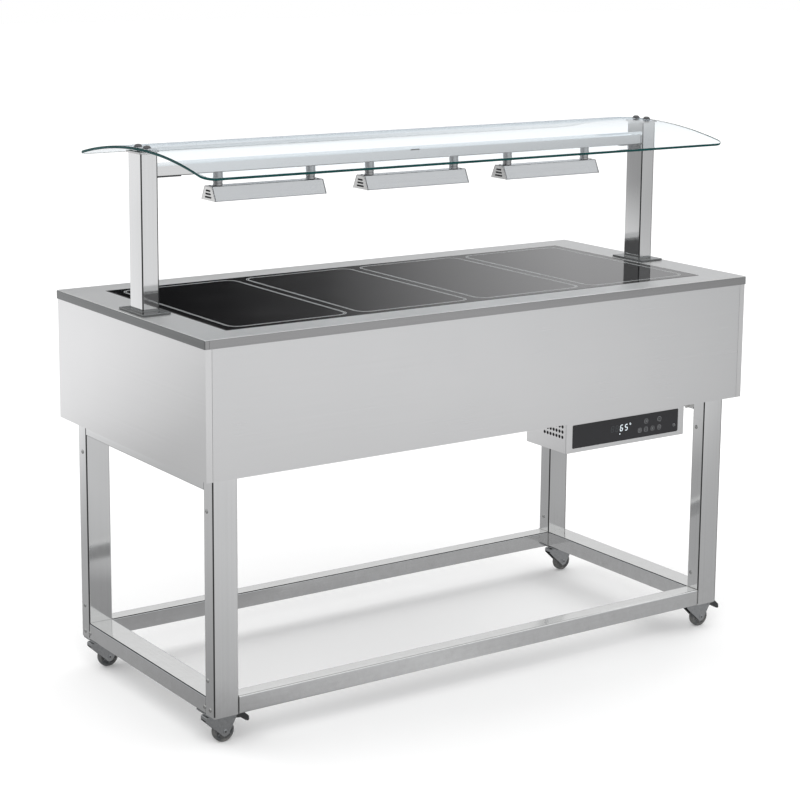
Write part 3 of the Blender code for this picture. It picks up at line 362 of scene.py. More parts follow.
def buildHandling():
    # soft smears and small specks left by wiping and use
    tree, builder, inside, outside = newGroup(
        "handlingMarks",
        [("Vector", "NodeSocketVector", None), ("Size", "NodeSocketFloat", 7.0),
         ("Amount", "NodeSocketFloat", 0.3)],
        [("Smear", "NodeSocketFloat"), ("Speck", "NodeSocketFloat")],
    )
    warped = builder.node("ShaderNodeVectorMath", operation="MULTIPLY")
    builder.link(inside.outputs["Vector"], warped.inputs[0])
    warped.inputs[1].default_value = (1.0, 1.6, 0.8)
    broad = builder.noise(warped.outputs[0], inside.outputs["Size"], 5.0, 0.55)
    smear = builder.spread(broad, 0.42, 0.72, 0.0, 1.0)
    builder.link(builder.math("MULTIPLY", smear, inside.outputs["Amount"]),
                 outside.inputs["Smear"])
    dots = builder.noise(inside.outputs["Vector"], 420.0, 2.0, 0.5)
    speck = builder.spread(dots, 0.68, 0.74, 0.0, 1.0)
    builder.link(builder.math("MULTIPLY", speck, inside.outputs["Amount"]),
                 outside.inputs["Speck"])
    return tree


def buildFloorDust():
    # grey dust that thins out upwards from the floor and breaks up with noise
    tree, builder, inside, outside = newGroup(
        "floorDust",
        [("Vector", "NodeSocketVector", None), ("Top", "NodeSocketFloat", 0.12),
         ("Amount", "NodeSocketFloat", 0.5)],
        [("Dust", "NodeSocketFloat")],
    )
    split = builder.node("ShaderNodeSeparateXYZ")
    builder.link(inside.outputs["Vector"], split.inputs[0])
    near = builder.spread(split.outputs[2], inside.outputs["Top"], 0.0, 0.0, 1.0)
    cloud = builder.spread(builder.noise(inside.outputs["Vector"], 38.0, 6.0, 0.7),
                           0.35, 0.7, 0.0, 1.0)
    dust = builder.math("MULTIPLY", builder.math("MULTIPLY", near, cloud),
                        inside.outputs["Amount"], clamp=True)
    builder.link(dust, outside.inputs["Dust"])
    return tree


def buildMouldedSkin():
    # the fine pebbled skin of a moulded part, with a slow change of tone
    tree, builder, inside, outside = newGroup(
        "mouldedSkin",
        [("Vector", "NodeSocketVector", None), ("Grain", "NodeSocketFloat", 900.0)],
        [("Height", "NodeSocketFloat"), ("Tone", "NodeSocketFloat")],
    )
    cells = builder.node("ShaderNodeTexVoronoi", feature="SMOOTH_F1")
    builder.link(inside.outputs["Vector"], cells.inputs["Vector"])
    builder.link(inside.outputs["Grain"], cells.inputs["Scale"])
    builder.link(cells.outputs["Distance"], outside.inputs["Height"])
    builder.link(builder.noise(inside.outputs["Vector"], 22.0, 5.0), outside.inputs["Tone"])
    return tree


brushedGrain = buildBrushedGrain()
handlingMarks = buildHandling()
floorDust = buildFloorDust()
mouldedSkin = buildMouldedSkin()


def startMaterial(name, display):
    # a new shader whose textures are placed by the object's own coordinates
    material = bpy.data.materials.new(name)
    material.use_nodes = True
    material.diffuse_color = (*display, 1)
    builder = GroupBuilder(material.node_tree)
    shader = material.node_tree.nodes["Principled BSDF"]
    place = builder.node("ShaderNodeTexCoord").outputs["Object"]
    return material, builder, shader, place


def placeGroup(builder, tree, vector, **values):
    made = builder.node("ShaderNodeGroup")
    made.node_tree = tree
    builder.link(vector, made.inputs["Vector"])
    for key, value in values.items():
        made.inputs[key].default_value = value
    return made


def mixColour(builder, factor, first, second):
    # each colour is a socket to link or a plain triple
    made = builder.node("ShaderNodeMix", data_type="RGBA")
    builder.feed(made.inputs[0], factor)
    for socket, value in ((made.inputs[6], first), (made.inputs[7], second)):
        builder.feed(socket, value if hasattr(value, "is_output") else (*value, 1))
    return made.outputs[2]


def bump(builder, shader, height, strength, distance):
    # height bends the surface direction by up to the given depth
    made = builder.node("ShaderNodeBump")
    made.inputs["Strength"].default_value = strength
    made.inputs["Distance"].default_value = distance
    builder.link(height, made.inputs["Height"])
    builder.link(made.outputs[0], shader.inputs["Normal"])


def steel(name, base, dark, roughness, stretch, depth, smears=0.25, dust=0.0, dustTop=0.12):
    # stainless steel: grain, wiping marks and, near the floor, a little dust
    material, builder, shader, place = startMaterial(name, base)
    grain = placeGroup(builder, brushedGrain, place, Stretch=stretch, Roughness=roughness,
                       Variation=roughness * 0.35)
    marks = placeGroup(builder, handlingMarks, place, Amount=smears)
    colour = mixColour(builder, grain.outputs["Tone"], dark, base)
    rough = builder.math("MULTIPLY_ADD", marks.outputs["Smear"], 0.12,
                         grain.outputs["Roughness"])
    if dust:
        powder = placeGroup(builder, floorDust, place, Top=dustTop, Amount=dust)
        colour = mixColour(builder, powder.outputs[0], colour, (0.33, 0.31, 0.28))
        rough = builder.math("MULTIPLY_ADD", powder.outputs[0], 0.35, rough)
    builder.link(colour, shader.inputs["Base Color"])
    builder.link(rough, shader.inputs["Roughness"])
    shader.inputs["Metallic"].default_value = 1.0
    bump(builder, shader, grain.outputs["Height"], 0.25, depth)
    return material


def moulded(name, base, light, roughness, grain=900.0, depth=0.00006, dust=0.0, coat=0.0):
    # plastic or rubber with a pebbled skin, a slow change of tone and rubbed spots
    material, builder, shader, place = startMaterial(name, base)
    skin = placeGroup(builder, mouldedSkin, place, Grain=grain)
    marks = placeGroup(builder, handlingMarks, place, Size=60.0, Amount=0.4)
    colour = mixColour(builder, skin.outputs["Tone"], base, light)
    rough = builder.math("MULTIPLY_ADD", marks.outputs["Smear"], -0.2, roughness)
    if dust:
        powder = placeGroup(builder, floorDust, place, Top=0.09, Amount=dust)
        colour = mixColour(builder, powder.outputs[0], colour, (0.30, 0.28, 0.25))
        rough = builder.math("MULTIPLY_ADD", powder.outputs[0], 0.2, rough)
    builder.link(colour, shader.inputs["Base Color"])
    builder.link(rough, shader.inputs["Roughness"])
    shader.inputs["Coat Weight"].default_value = coat
    bump(builder, shader, skin.outputs["Height"], 0.3, depth)
    return material


def clearGlass(name, tint, smear, ior):
    # clear glass with faint wiping smears in its roughness
    material, builder, shader, place = startMaterial(name, tint)
    marks = placeGroup(builder, handlingMarks, place, Size=5.0, Amount=smear)
    shader.inputs["Base Color"].default_value = (*tint, 1)
    builder.link(builder.math("MULTIPLY_ADD", marks.outputs["Smear"], 0.10, 0.012),
                 shader.inputs["Roughness"])
    shader.inputs["Transmission Weight"].default_value = 1.0
    shader.inputs["IOR"].default_value = ior
    return material


def glossyBlack(name, base, roughness, smear, size):
    # black glass or foil: deep gloss, dulled a little where it was wiped
    material, builder, shader, place = startMaterial(name, base)
    marks = placeGroup(builder, handlingMarks, place, Size=size, Amount=smear)
    builder.link(mixColour(builder, marks.outputs["Speck"], base, [c + 0.03 for c in base]),
                 shader.inputs["Base Color"])
    builder.link(builder.math("MULTIPLY_ADD", marks.outputs["Smear"], 0.14, roughness),
                 shader.inputs["Roughness"])
    shader.inputs["IOR"].default_value = 1.52
    return material


def glowing(name, colour, strength):
    # lit print under the foil, a little uneven
    material, builder, shader, place = startMaterial(name, colour)
    tone = builder.noise(place, 300.0, 2.0)
    builder.link(mixColour(builder, tone, colour, [c * 0.85 for c in colour]),
                 shader.inputs["Base Color"])
    shader.inputs["Emission Color"].default_value = (*colour, 1)
    shader.inputs["Emission Strength"].default_value = strength
    shader.inputs["Roughness"].default_value = 0.35
    return material


steelSatin = (0.80, 0.80, 0.80)
steelSatinDark = (0.78, 0.78, 0.78)
steelBright = (0.82, 0.825, 0.825)
steelBrightDark = (0.79, 0.795, 0.795)
finish = dict(
    worktop=steel("worktopSteel", (0.65, 0.65, 0.65), (0.62, 0.62, 0.62), 0.34,
                  (3, 900, 900), 0.00002, 0.3),
    # the worktop's rim in a darker copy of its steel, its end faces darker again: painted shade
    paintedShadeRimEdge=steel("paintedShadeRimSteel", (0.40, 0.40, 0.40), (0.37, 0.37, 0.37), 0.20,
                  (3, 900, 900), 0.00002, 0.2),
    paintedShadeRimEnd=steel("paintedShadeRimEndSteel", (0.22, 0.225, 0.225), (0.19, 0.195, 0.195), 0.20,
                 (900, 3, 900), 0.00002, 0.2),
    skirtLong=steel("longSkirtSteel", steelSatin, steelSatinDark, 0.24,
                    (5, 1400, 1400), 0.00001, 0.15),
    skirtEnd=steel("endSkirtSteel", steelSatin, steelSatinDark, 0.13,
                   (1400, 5, 1400), 0.00001, 0.15),
    tubeUp=steel("uprightTubeSteel", steelBright, steelBrightDark, 0.055,
                 (1400, 1400, 4), 0.0000025, 0.25, 0.2, 0.2),
    tubeAlongX=steel("longTubeSteel", steelBright, steelBrightDark, 0.11,
                     (3, 900, 900), 0.0000025, 0.25, 0.2, 0.2),
    tubeAlongY=steel("crossTubeSteel", steelBright, steelBrightDark, 0.11,
                     (900, 3, 900), 0.0000025, 0.25, 0.2, 0.2),
    post=steel("postSteel", steelBright, steelBrightDark, 0.06, (900, 900, 4), 0.0000025, 0.3),
    # a darker steel for painted shade at the posts' feet
    flange=steel("paintedShadeFlangeSteel", (0.26, 0.265, 0.265), (0.22, 0.225, 0.225), 0.16,
                 (3, 900, 900), 0.00001, 0.3),
    lamp=steel("lampSteel", (0.60, 0.59, 0.59), (0.57, 0.56, 0.56), 0.16,
               (4, 900, 900), 0.00002, 0.3),
    standoff=steel("standoffSteel", (0.44, 0.445, 0.45), (0.38, 0.385, 0.39), 0.06,
                   (900, 900, 4), 0.0000025, 0.3),
    reflector=steel("reflectorSheet", (0.80, 0.80, 0.79), (0.74, 0.74, 0.73), 0.12,
                    (6, 500, 500), 0.00003, 0.4),
    screw=steel("screwSteel", (0.15, 0.15, 0.155), (0.11, 0.11, 0.115), 0.16,
                (300, 300, 300), 0.00002, 0.5),
    brightScrew=steel("brightScrewSteel", (0.55, 0.55, 0.54), (0.48, 0.48, 0.47), 0.20,
                      (300, 300, 300), 0.00002, 0.5),
    zinc=steel("zincPlate", (0.51, 0.52, 0.525), (0.41, 0.42, 0.43), 0.20,
               (900, 900, 900), 0.00001, 0.2, 0.2, 0.07),
    aluminium=steel("plainAluminium", (0.75, 0.76, 0.77), (0.68, 0.69, 0.70), 0.36,
                    (5, 300, 300), 0.00004, 0.4),
    copper=steel("coilWinding", (0.72, 0.38, 0.22), (0.55, 0.26, 0.14), 0.38,
                 (500, 500, 500), 0.00008, 0.3),
    rubber=moulded("treadRubber", (0.045, 0.05, 0.053), (0.07, 0.075, 0.08), 0.55,
                   700.0, 0.00008, 0.6),
    plastic=moulded("blackPlastic", (0.022, 0.022, 0.024), (0.04, 0.04, 0.042), 0.42, 1100.0),
    greyPlastic=moulded("greyHub", (0.16, 0.17, 0.18), (0.20, 0.21, 0.22), 0.48, 1000.0,
                        0.00005, 0.4),
    silicone=moulded("silicone", (0.018, 0.018, 0.018), (0.03, 0.03, 0.03), 0.55, 800.0),
    board=moulded("circuitBoard", (0.03, 0.16, 0.07), (0.05, 0.22, 0.10), 0.5, 1500.0),
    ceramic=glossyBlack("blackCeramicPlate", (0.003, 0.003, 0.0035), 0.05, 0.2, 6.0),
    foil=glossyBlack("blackFoil", (0.008, 0.008, 0.010), 0.10, 0.4, 40.0),
    # dark joints, and painted shade for strips and plates standing in for slots, recesses and
    # streaks
    jointAndPaintedShade=glossyBlack("jointAndPaintedShade", (0.012, 0.012, 0.012), 0.6, 0.2, 80.0),
    fieldPrint=moulded("fieldPrint", (0.40, 0.41, 0.41), (0.46, 0.47, 0.47), 0.35, 1500.0,
                       0.00001),
    keyPrint=moulded("keyPrint", (0.36, 0.37, 0.38), (0.40, 0.41, 0.42), 0.45, 1500.0,
                     0.00001),
    unlit=moulded("unlitSegments", (0.036, 0.042, 0.046), (0.045, 0.052, 0.056), 0.4, 1500.0,
                  0.00001),
    boxSteel=steel("boxSteel", (0.95, 0.95, 0.95), (0.92, 0.92, 0.92), 0.14,
                   (1400, 5, 1400), 0.00001, 0.15),
    glass=clearGlass("clearPane", (0.90, 0.945, 0.975), 0.2, 1.09),
    quartz=clearGlass("quartzTube", (0.97, 0.93, 0.90), 0.2, 1.46),
    porcelain=moulded("porcelain", (0.72, 0.70, 0.66), (0.78, 0.76, 0.72), 0.35, 1300.0),
    digits=glowing("litDigits", (0.82, 0.90, 0.95), 0.55),
    litDot=glowing("litDot", (0.80, 0.88, 0.92), 0.4),
)
print("materials made:", len(finish))


def glassEdge():
    # the cut edge of the pane looks deep blue-green because light runs along inside it
    material, builder, shader, place = startMaterial("paneEdge", (0.05, 0.30, 0.28))
    grain = placeGroup(builder, brushedGrain, place, Stretch=(60, 60, 400), Roughness=0.12,
                       Variation=0.05)
    builder.link(mixColour(builder, grain.outputs["Tone"], (0.003, 0.034, 0.034),
                           (0.007, 0.055, 0.053)), shader.inputs["Base Color"])
    builder.link(grain.outputs["Roughness"], shader.inputs["Roughness"])
    shader.inputs["IOR"].default_value = 1.2
    return material


finish["glassEdge"] = glassEdge()


def domeScrew(radius=0.0045, height=0.0024, socket=0.0016, sink=0.0010):
    # a dome with a hexagon hole: radius times sine and height times cosine of the angle
    # from its top
    angle = np.radians(np.linspace(90, 34, 7))
    outside = np.column_stack([radius * np.sin(angle), height * np.cos(angle)])
    outside = np.vstack([[radius, -0.0004], outside])
    rings = turned(outside, 24, ring=False)[0].reshape(len(outside), 24, 3)
    around = np.arange(24) * 2 * np.pi / 24
    flat = socket / np.cos((around + np.pi / 6) % (np.pi / 3) - np.pi / 6)
    top = outside[-1][1]
    rim = np.stack([flat * np.cos(around), flat * np.sin(around), np.full(24, top)], axis=1)
    floorRing = rim - [0, 0, sink]
    rings = np.concatenate([rings, rim[None], floorRing[None]])
    return loft(rings)


def screwOn(axis, sign, at, **sizes):
    # a dome screw whose head stands out along the axis
    points, faces = domeScrew(**sizes)
    if sign < 0:
        points = points * [1, 1, -1]
    return aim((points, faces), axis, at)


stand = dict(
    legDepth=0.040, railHeight=0.040, rounding=0.0035, jointGap=0.0004, railLine=0.0024,
    weldBead=0.0009, screwRadius=0.0052, screwHeight=0.0024,
    # depth and height of each screw on an end frame
    screws=((-0.292, 0.523), (-0.290, 0.150), (-0.276, 0.087), (-0.300, 0.087),
            (0.297, 0.523), (0.300, 0.150), (0.276, 0.087), (0.300, 0.087)),
    throughScrewsAbove=0.12)  # screws above this height show on both sides of the leg


def paintedShadeLine(axis, across, ends, outward, rounding, width=0.0034):
    # painted shade down a rounded corner: a thin dark strip across the rounding at 45 degrees,
    # made about Z and then given to the axis by moving its three coordinates round
    inwards = rounding * (1 - math.sqrt(0.5)) - 0.00008
    strip = bar((-0.00018, -width / 2, ends[0]), (0.00018, width / 2, ends[1]), "Z",
                0.00015, 0.0001, 2)
    points, faces = turn(strip, math.degrees(math.atan2(outward[1], outward[0])), "Z")
    points = points + np.array([across[0] - inwards * outward[0],
                                across[1] - inwards * outward[1], 0.0])
    return aim((points, faces), axis)


def buildStand():
    # legs, rails and screws stand between the corners of their CAD nodes
    depth, height, rounding = stand["legDepth"], stand["railHeight"], stand["rounding"]
    for sideName, side in (("left", -1), ("right", 1)):
        node = sideName + "_end_frame"
        low, high = corner(node)
        legs = [
            bar((low[0], y0, low[2]), (high[0], y1, high[2]), "Z", rounding)
            for y0, y1 in ((low[1], low[1] + depth), (high[1] - depth, high[1]))
        ]
        makePiece(sideName + "_frame_legs", legs, finish["tubeUp"],
                  replaces=[node])
        # painted shade lines down the legs' rounded corners
        facing = (-1,) if side < 0 else (-1, 1)
        lines = [paintedShadeLine("Z", (low[0] if way < 0 else high[0], y), (low[2] + 0.004, high[2]),
                          (way, -1), rounding)
                 for way in facing for y in (low[1], high[1] - depth)]
        makePiece(sideName + "_leg_painted_shade_lines", lines, finish["jointAndPaintedShade"])
        # a painted shade line along the lower rail's top edge
        line = paintedShadeLine("Y", (low[2] + height, low[0]), (low[1] + depth, high[1] - depth),
                        (1, -1), rounding, stand["railLine"])
        makePiece(sideName + "_rail_painted_shade_line", [line], finish["jointAndPaintedShade"])
        gap = stand["jointGap"]
        rails = [
            bar((low[0], low[1] + depth + gap, z0), (high[0], high[1] - depth - gap, z1), "Y",
                rounding)
            for z0, z1 in ((low[2], low[2] + height), (high[2] - height, high[2]))
        ]
        makePiece(sideName + "_frame_rails", rails, finish["tubeAlongY"])
        outer = low[0] if side < 0 else high[0]
        inner = high[0] if side < 0 else low[0]
        heads = []
        sizes = dict(radius=stand["screwRadius"], height=stand["screwHeight"])
        for y, z in stand["screws"]:
            heads.append(screwOn("X", side, (outer, y, z), **sizes))
            if z > stand["throughScrewsAbove"]:
                heads.append(screwOn("X", -side, (inner, y, z), **sizes))
        makePiece(sideName + "_frame_screws", heads, finish["brightScrew"])
    for name in ("front_lower_rail", "rear_lower_rail"):
        low, high = corner(name)
        makePiece(name + "_tube", [bar(low, high, "X", rounding)], finish["tubeAlongX"],
                  replaces=[name])
        beads = []
        for x, way in ((low[0], 1), (high[0], -1)):
            loopPath = roundedLoop((high[1] - low[1]) / 2 + 0.0002,
                                   (high[2] - low[2]) / 2 + 0.0002, rounding, steps=5)
            path = np.column_stack([
                np.full(len(loopPath), x + way * 0.0006),
                loopPath[:, 0] + (low[1] + high[1]) / 2,
                loopPath[:, 1] + (low[2] + high[2]) / 2,
            ])
            beads.append(sweep(path, stand["weldBead"], 8, closed=True))
        makePiece(name + "_weld_beads", beads, finish["brightScrew"])
    # a painted shade line along the rear rail's top front edge
    line = paintedShadeLine("X", (low[1], high[2]), (low[0] + 0.002, high[0] - 0.002), (-1, 1),
                    rounding, stand["railLine"])
    makePiece("rear_rail_painted_shade_line", [line], finish["jointAndPaintedShade"])


buildStand()
print("stand built")

topSheet = dict(edge=0.0022, cornerRadius=0.0025, recessEdge=0.0012, sheet=0.002,
                ledge=0.0147, sealGap=0.0003, jointInset=0.0105, jointWidth=0.0005)
fieldLines = dict(count=4, pitch=0.3235, width=0.300, depth=0.518, corner=0.030,
                  lineWidth=0.0016, doubleGap=0.0042, lift=0.00012)


def buildWorktop():
    # one closed profile carried round the sheet: up the rim over a quarter circle, down into
    # the recess over another, in along the ledge and back underneath
    low, high = corner("worktop")
    sealLow, sealHigh = corner("plate_seal")
    halfX, halfY, top, bottom = high[0], high[1], high[2], low[2]
    sheet, edge, ring = topSheet["sheet"], topSheet["edge"], topSheet["cornerRadius"]
    openX, openY = sealHigh[0] + topSheet["sealGap"], sealHigh[1] + topSheet["sealGap"]
    ledgeTop, ledge = sealLow[2] - topSheet["sealGap"], topSheet["ledge"]
    small = topSheet["recessEdge"]
    quarter = np.radians(np.linspace(0, 90, 6))
    rings = [
        (halfX - sheet, halfY - sheet, 0.0008, bottom),
        (halfX - 0.0003, halfY - 0.0003, ring, bottom),
        (halfX, halfY, ring, bottom + 0.0003),
    ]
    rings += [
        (halfX - edge * (1 - math.cos(a)), halfY - edge * (1 - math.cos(a)),
         ring, top - edge * (1 - math.sin(a)))
        for a in quarter
    ]
    rings += [
        (openX + small * (1 - math.sin(a)), openY + small * (1 - math.sin(a)), 0.004,
         top - small * (1 - math.cos(a)))
        for a in quarter
    ]
    rings += [
        (openX, openY, 0.003, ledgeTop),
        (openX - ledge, openY - ledge, 0.003, ledgeTop),
        (openX - ledge, openY - ledge, 0.003, ledgeTop - sheet),
        (openX + sheet, openY + sheet, 0.003, ledgeTop - sheet),
        (openX + sheet, openY + sheet, 0.003, top - sheet),
        (halfX - sheet, halfY - sheet, 0.0008, top - sheet),
    ]
    loops = [roundedLoop(x, y, r, z, steps=6) for x, y, r, z in rings]
    piece = makePiece("worktop_sheet", [loft(loops, around=True)], finish["worktop"],
                      replaces=["worktop"], sharp=50)
    # painted shade: rim faces take darker steel, end rims darker still, picked by which way each
    # face turns
    middles, normals = facePlaces(piece)
    rim = (np.abs(normals[:, 2]) < 0.5) & (
        (np.abs(middles[:, 0]) > halfX - 0.004) | (np.abs(middles[:, 1]) > halfY - 0.004))
    atEnd = rim & (np.abs(normals[:, 0]) > 0.7)
    paintFaces(piece, rim.astype(np.int32) + atEnd, finish["paintedShadeRimEdge"], finish["paintedShadeRimEnd"])
    start = halfX - topSheet["jointInset"]
    end = start - topSheet["jointWidth"]
    seams = [
        bar((way * start, way * (halfY + 0.00012), bottom + 0.0004),
            (way * end, way * (halfY - 0.0002), top - 0.0018), "Z", 0.0001, 0.0001)
        for way in (-1, 1)
    ]
    makePiece("rim_joint_lines", seams, finish["jointAndPaintedShade"])


def ringStrip(halfX, halfY, radius, width, z, centre):
    # a flat closed band: outside and inside loops at two heights
    lift = fieldLines["lift"]
    loops = [
        roundedLoop(halfX, halfY, radius, z, centre, 8),
        roundedLoop(halfX, halfY, radius, z + lift, centre, 8),
        roundedLoop(halfX - width, halfY - width, radius - width, z + lift, centre, 8),
        roundedLoop(halfX - width, halfY - width, radius - width, z, centre, 8),
    ]
    return loft(loops, around=True)


def buildPlate():
    # straight sides, then a quarter circle of the edge's radius up to the flat top
    low, high = corner("glass_ceramic_plate")
    x, y, top, bottom = high[0], high[1], high[2], low[2]
    quarter = np.radians(np.linspace(0, 90, 5))
    edge = 0.0010
    loops = [roundedLoop(x - 0.0006, y - 0.0006, 0.002, bottom, steps=6),
             roundedLoop(x, y, 0.0026, bottom + 0.0006, steps=6)]
    loops += [roundedLoop(x - edge * (1 - math.cos(a)), y - edge * (1 - math.cos(a)), 0.0026,
                          top - edge * (1 - math.sin(a)), steps=6) for a in quarter]
    makePiece("ceramic_plate", [loft(loops)], finish["ceramic"],
              replaces=["glass_ceramic_plate"])
    bands = []
    for i in range(fieldLines["count"]):
        centre = ((i - 1.5) * fieldLines["pitch"], 0.0)
        for inset in (0.0, fieldLines["doubleGap"]):
            bands.append(ringStrip(fieldLines["width"] / 2 - inset,
                                   fieldLines["depth"] / 2 - inset,
                                   fieldLines["corner"] - inset, fieldLines["lineWidth"],
                                   top - 0.00002, centre))
    makePiece("field_lines", bands, finish["fieldPrint"])


buildWorktop()
buildPlate()
print("worktop and plate built")

gantry = dict(postRounding=0.0030, flange=0.0045, weld=0.0014, postWall=0.002,
              lidReach=0.004, paneColumns=72, paneRows=40, paneCorner=0.028, pane=0.006,
              camber=0.036, beamTab=0.062, beamWall=0.002, beamSlot=(-0.022, 0.004))


def buildPosts():
    # foot plate, a fillet where weld times one less sine and cosine gives the quarter circle,
    # then the tube up outside and down inside
    for sideName in ("left", "right"):
        low, high = corner(sideName + "_post")
        capLow, capHigh = corner(sideName + "_glass_cap")
        middleX = (low[0] + high[0]) / 2
        lidReach, wall = gantry["lidReach"], gantry["postWall"]
        halfX, halfY = (capHigh[0] - capLow[0]) / 2 - lidReach, capHigh[1] - lidReach
        flangeX, flangeY = (high[0] - low[0]) / 2, high[1]
        foot, thick = low[2], gantry["flange"]
        centre = (middleX, 0.0)
        loops = [
            roundedLoop(flangeX - 0.0003, flangeY - 0.0003, 0.0015, foot, centre, 5),
            roundedLoop(flangeX, flangeY, 0.0015, foot + 0.0003, centre, 5),
            roundedLoop(flangeX, flangeY, 0.0015, foot + thick - 0.0006, centre, 5),
            roundedLoop(flangeX - 0.0006, flangeY - 0.0006, 0.0012, foot + thick, centre, 5),
        ]
        weld = gantry["weld"]
        for a in np.radians(np.linspace(0, 90, 5)):
            out = weld * (1 - math.sin(a))
            loops.append(roundedLoop(halfX + out, halfY + out, gantry["postRounding"] + out,
                                     foot + thick + weld * (1 - math.cos(a)), centre, 5))
        loops += [
            roundedLoop(halfX, halfY, gantry["postRounding"], high[2], centre, 5),
            roundedLoop(halfX - wall, halfY - wall, 0.0012, high[2], centre, 5),
            roundedLoop(halfX - wall, halfY - wall, 0.0012, foot, centre, 5),
        ]
        piece = makePiece(sideName + "_post_tube", [loft(loops, around=True)], finish["post"],
                          replaces=[sideName + "_post"])
        # painted shade: the foot plate and weld fillet below this height take the darker steel
        flange = facePlaces(piece)[0][:, 2] < foot + thick + weld
        paintFaces(piece, flange, finish["flange"])
        # painted shade lines down the posts' front corners
        lines = [paintedShadeLine("Z", (middleX + way * halfX, -halfY),
                          (foot + thick + weld, high[2] - 0.0002), (way, -1),
                          gantry["postRounding"]) for way in (-1, 1)]
        makePiece(sideName + "_post_painted_shade_lines", lines, finish["jointAndPaintedShade"])
        lid = bar((capLow[0], capLow[1], capHigh[2] - 0.004), capHigh, "Z", 0.003, 0.0007)
        plug = bar((middleX - halfX + 0.0024, -halfY + 0.0024, capLow[2]),
                   (middleX + halfX - 0.0024, halfY - 0.0024, capHigh[2] - 0.002), "Z", 0.002)
        makePiece(sideName + "_cap_lid", [lid, plug], finish["lamp"],
                  replaces=[sideName + "_glass_cap"])


def buildGlass():
    # a sheet bent to one radius: depth is radius times sine and height radius times cosine
    high = corner("curved_glass")[1]
    halfX, halfY = high[0], high[1]
    camber, pane, rounding = gantry["camber"], gantry["pane"], gantry["paneCorner"]
    # chord and rise give the bend: radius is (half chord squared + rise squared) / (2 rise)
    half = halfY - 0.0015
    bend = (half ** 2 + camber ** 2) / (2 * camber)
    centreZ = high[2] - pane - bend
    u = np.sin(np.linspace(-np.pi / 2, np.pi / 2, gantry["paneColumns"])) * halfX
    # each column reaches to the end of the bend, less the drop of the rounded corner there
    over = np.clip(np.abs(u) - (halfX - rounding), 0, rounding)
    reach = math.asin(half / bend) - (rounding - np.sqrt(rounding ** 2 - over ** 2)) / bend
    v = np.linspace(-1, 1, gantry["paneRows"])
    angle = reach[:, None] * v[None, :]
    x = np.repeat(u[:, None], gantry["paneRows"], axis=1)

    def sheet(offset, inset):
        # inset draws the outline in, so that the edge is ground round
        radius = bend + offset
        shrink = 1 - inset / halfX
        turnBack = angle * (1 - inset / half)
        return np.stack([x * shrink, radius * np.sin(turnBack),
                         centreZ + radius * np.cos(turnBack)], axis=-1)

    lower, upper = sheet(0.0, 0.0012), sheet(pane, 0.0012)

    def outlineOf(grid):
        return np.concatenate([grid[:, 0], grid[-1, 1:], grid[-2::-1, -1], grid[0, -2:0:-1]])

    ground = [outlineOf(sheet(pane * share, inset)) for share, inset in
              ((0.0, 0.0012), (0.10, 0.0004), (0.30, 0.0), (0.70, 0.0), (0.90, 0.0004),
               (1.0, 0.0012))]
    piece = makePiece(
        "bent_pane",
        [loft(lower, caps=False, strip=True), loft(upper, caps=False, strip=True),
         loft(ground, caps=False)],
        finish["glass"], replaces=["curved_glass"], sharp=50)
    middles, normals = facePlaces(piece)
    radial = np.stack([np.zeros(len(middles)), middles[:, 1], middles[:, 2] - centreZ], axis=1)
    radial /= np.linalg.norm(radial, axis=1)[:, None]
    edgeFaces = np.abs(np.sum(radial * normals, axis=1)) < 0.75
    paintFaces(piece, edgeFaces, finish["glassEdge"])
    piece.visible_shadow = False
    for sideName in ("left", "right"):
        for endName in ("front", "rear"):
            node = f"glass_screw_{sideName}_{endName}"
            screwLow, screwHigh = corner(node)
            middle = (screwLow + screwHigh) / 2
            radius = (screwHigh[0] - screwLow[0]) / 2
            seat = screwHigh[2] - 0.006
            shank = shift(turned([(0.0034, seat - 0.004), (0.0034, seat + 0.001)], 24),
                          (middle[0], middle[1], 0))
            washer = shift(turned([(0.0035, seat - 0.0004), (radius + 0.0012, seat - 0.0004),
                                   (radius + 0.0014, seat + 0.0002),
                                   (radius + 0.0008, seat + 0.0007), (0.0035, seat + 0.0007)],
                                  32, ring=True), (middle[0], middle[1], 0))
            head = screwOn("Z", 1, (middle[0], middle[1], seat + 0.0007), radius=radius,
                           height=0.0060, socket=0.0026, sink=0.0022)
            makePiece(node + "_dome", [head, washer, shank], finish["screw"],
                      replaces=[node])


def buildBeam():
    # an open square tube with an angle bracket under each end
    low, high = corner("lamp_beam")
    makePiece("lamp_beam_tube", [openTube(low, high, "X", 0.0028, gantry["beamWall"], 5)],
              finish["tubeAlongX"], replaces=["lamp_beam"])
    fixings = []
    for x, side in ((low[0], -1), (high[0], 1)):
        inner = x - side * 0.0015
        fixings.append(bar((x - side * 0.0002, low[1] + 0.004, low[2] - 0.012),
                           (x - side * 0.0022, high[1] - 0.004, low[2] - 0.0002), "Z", 0.0008,
                           0.0005))
        fixings.append(bar((x - side * 0.0002, low[1] + 0.004, low[2] - 0.0024),
                           (x - side * gantry["beamTab"], high[1] - 0.004, low[2] - 0.0002),
                           "Z", 0.0008, 0.0005))
        for y in (-0.014, 0.014):
            fixings.append(screwOn("X", -side, (inner - side * 0.0006, y, low[2] - 0.0062),
                                   radius=0.0034, height=0.0016, socket=0.0011, sink=0.0008))
    makePiece("beam_end_brackets", fixings, finish["screw"])
    # a dark strip on the beam's front face: painted shade standing in for a slot
    start, end = gantry["beamSlot"]
    slotBar = bar((start, low[1] - 0.0003, high[2] - 0.0046),
                  (end, low[1] + 0.0006, high[2] - 0.0016), "X", 0.0006, 0.0004)
    makePiece("beam_front_details", [slotBar], finish["jointAndPaintedShade"])


buildPosts()
buildGlass()
buildBeam()
print("gantry built")

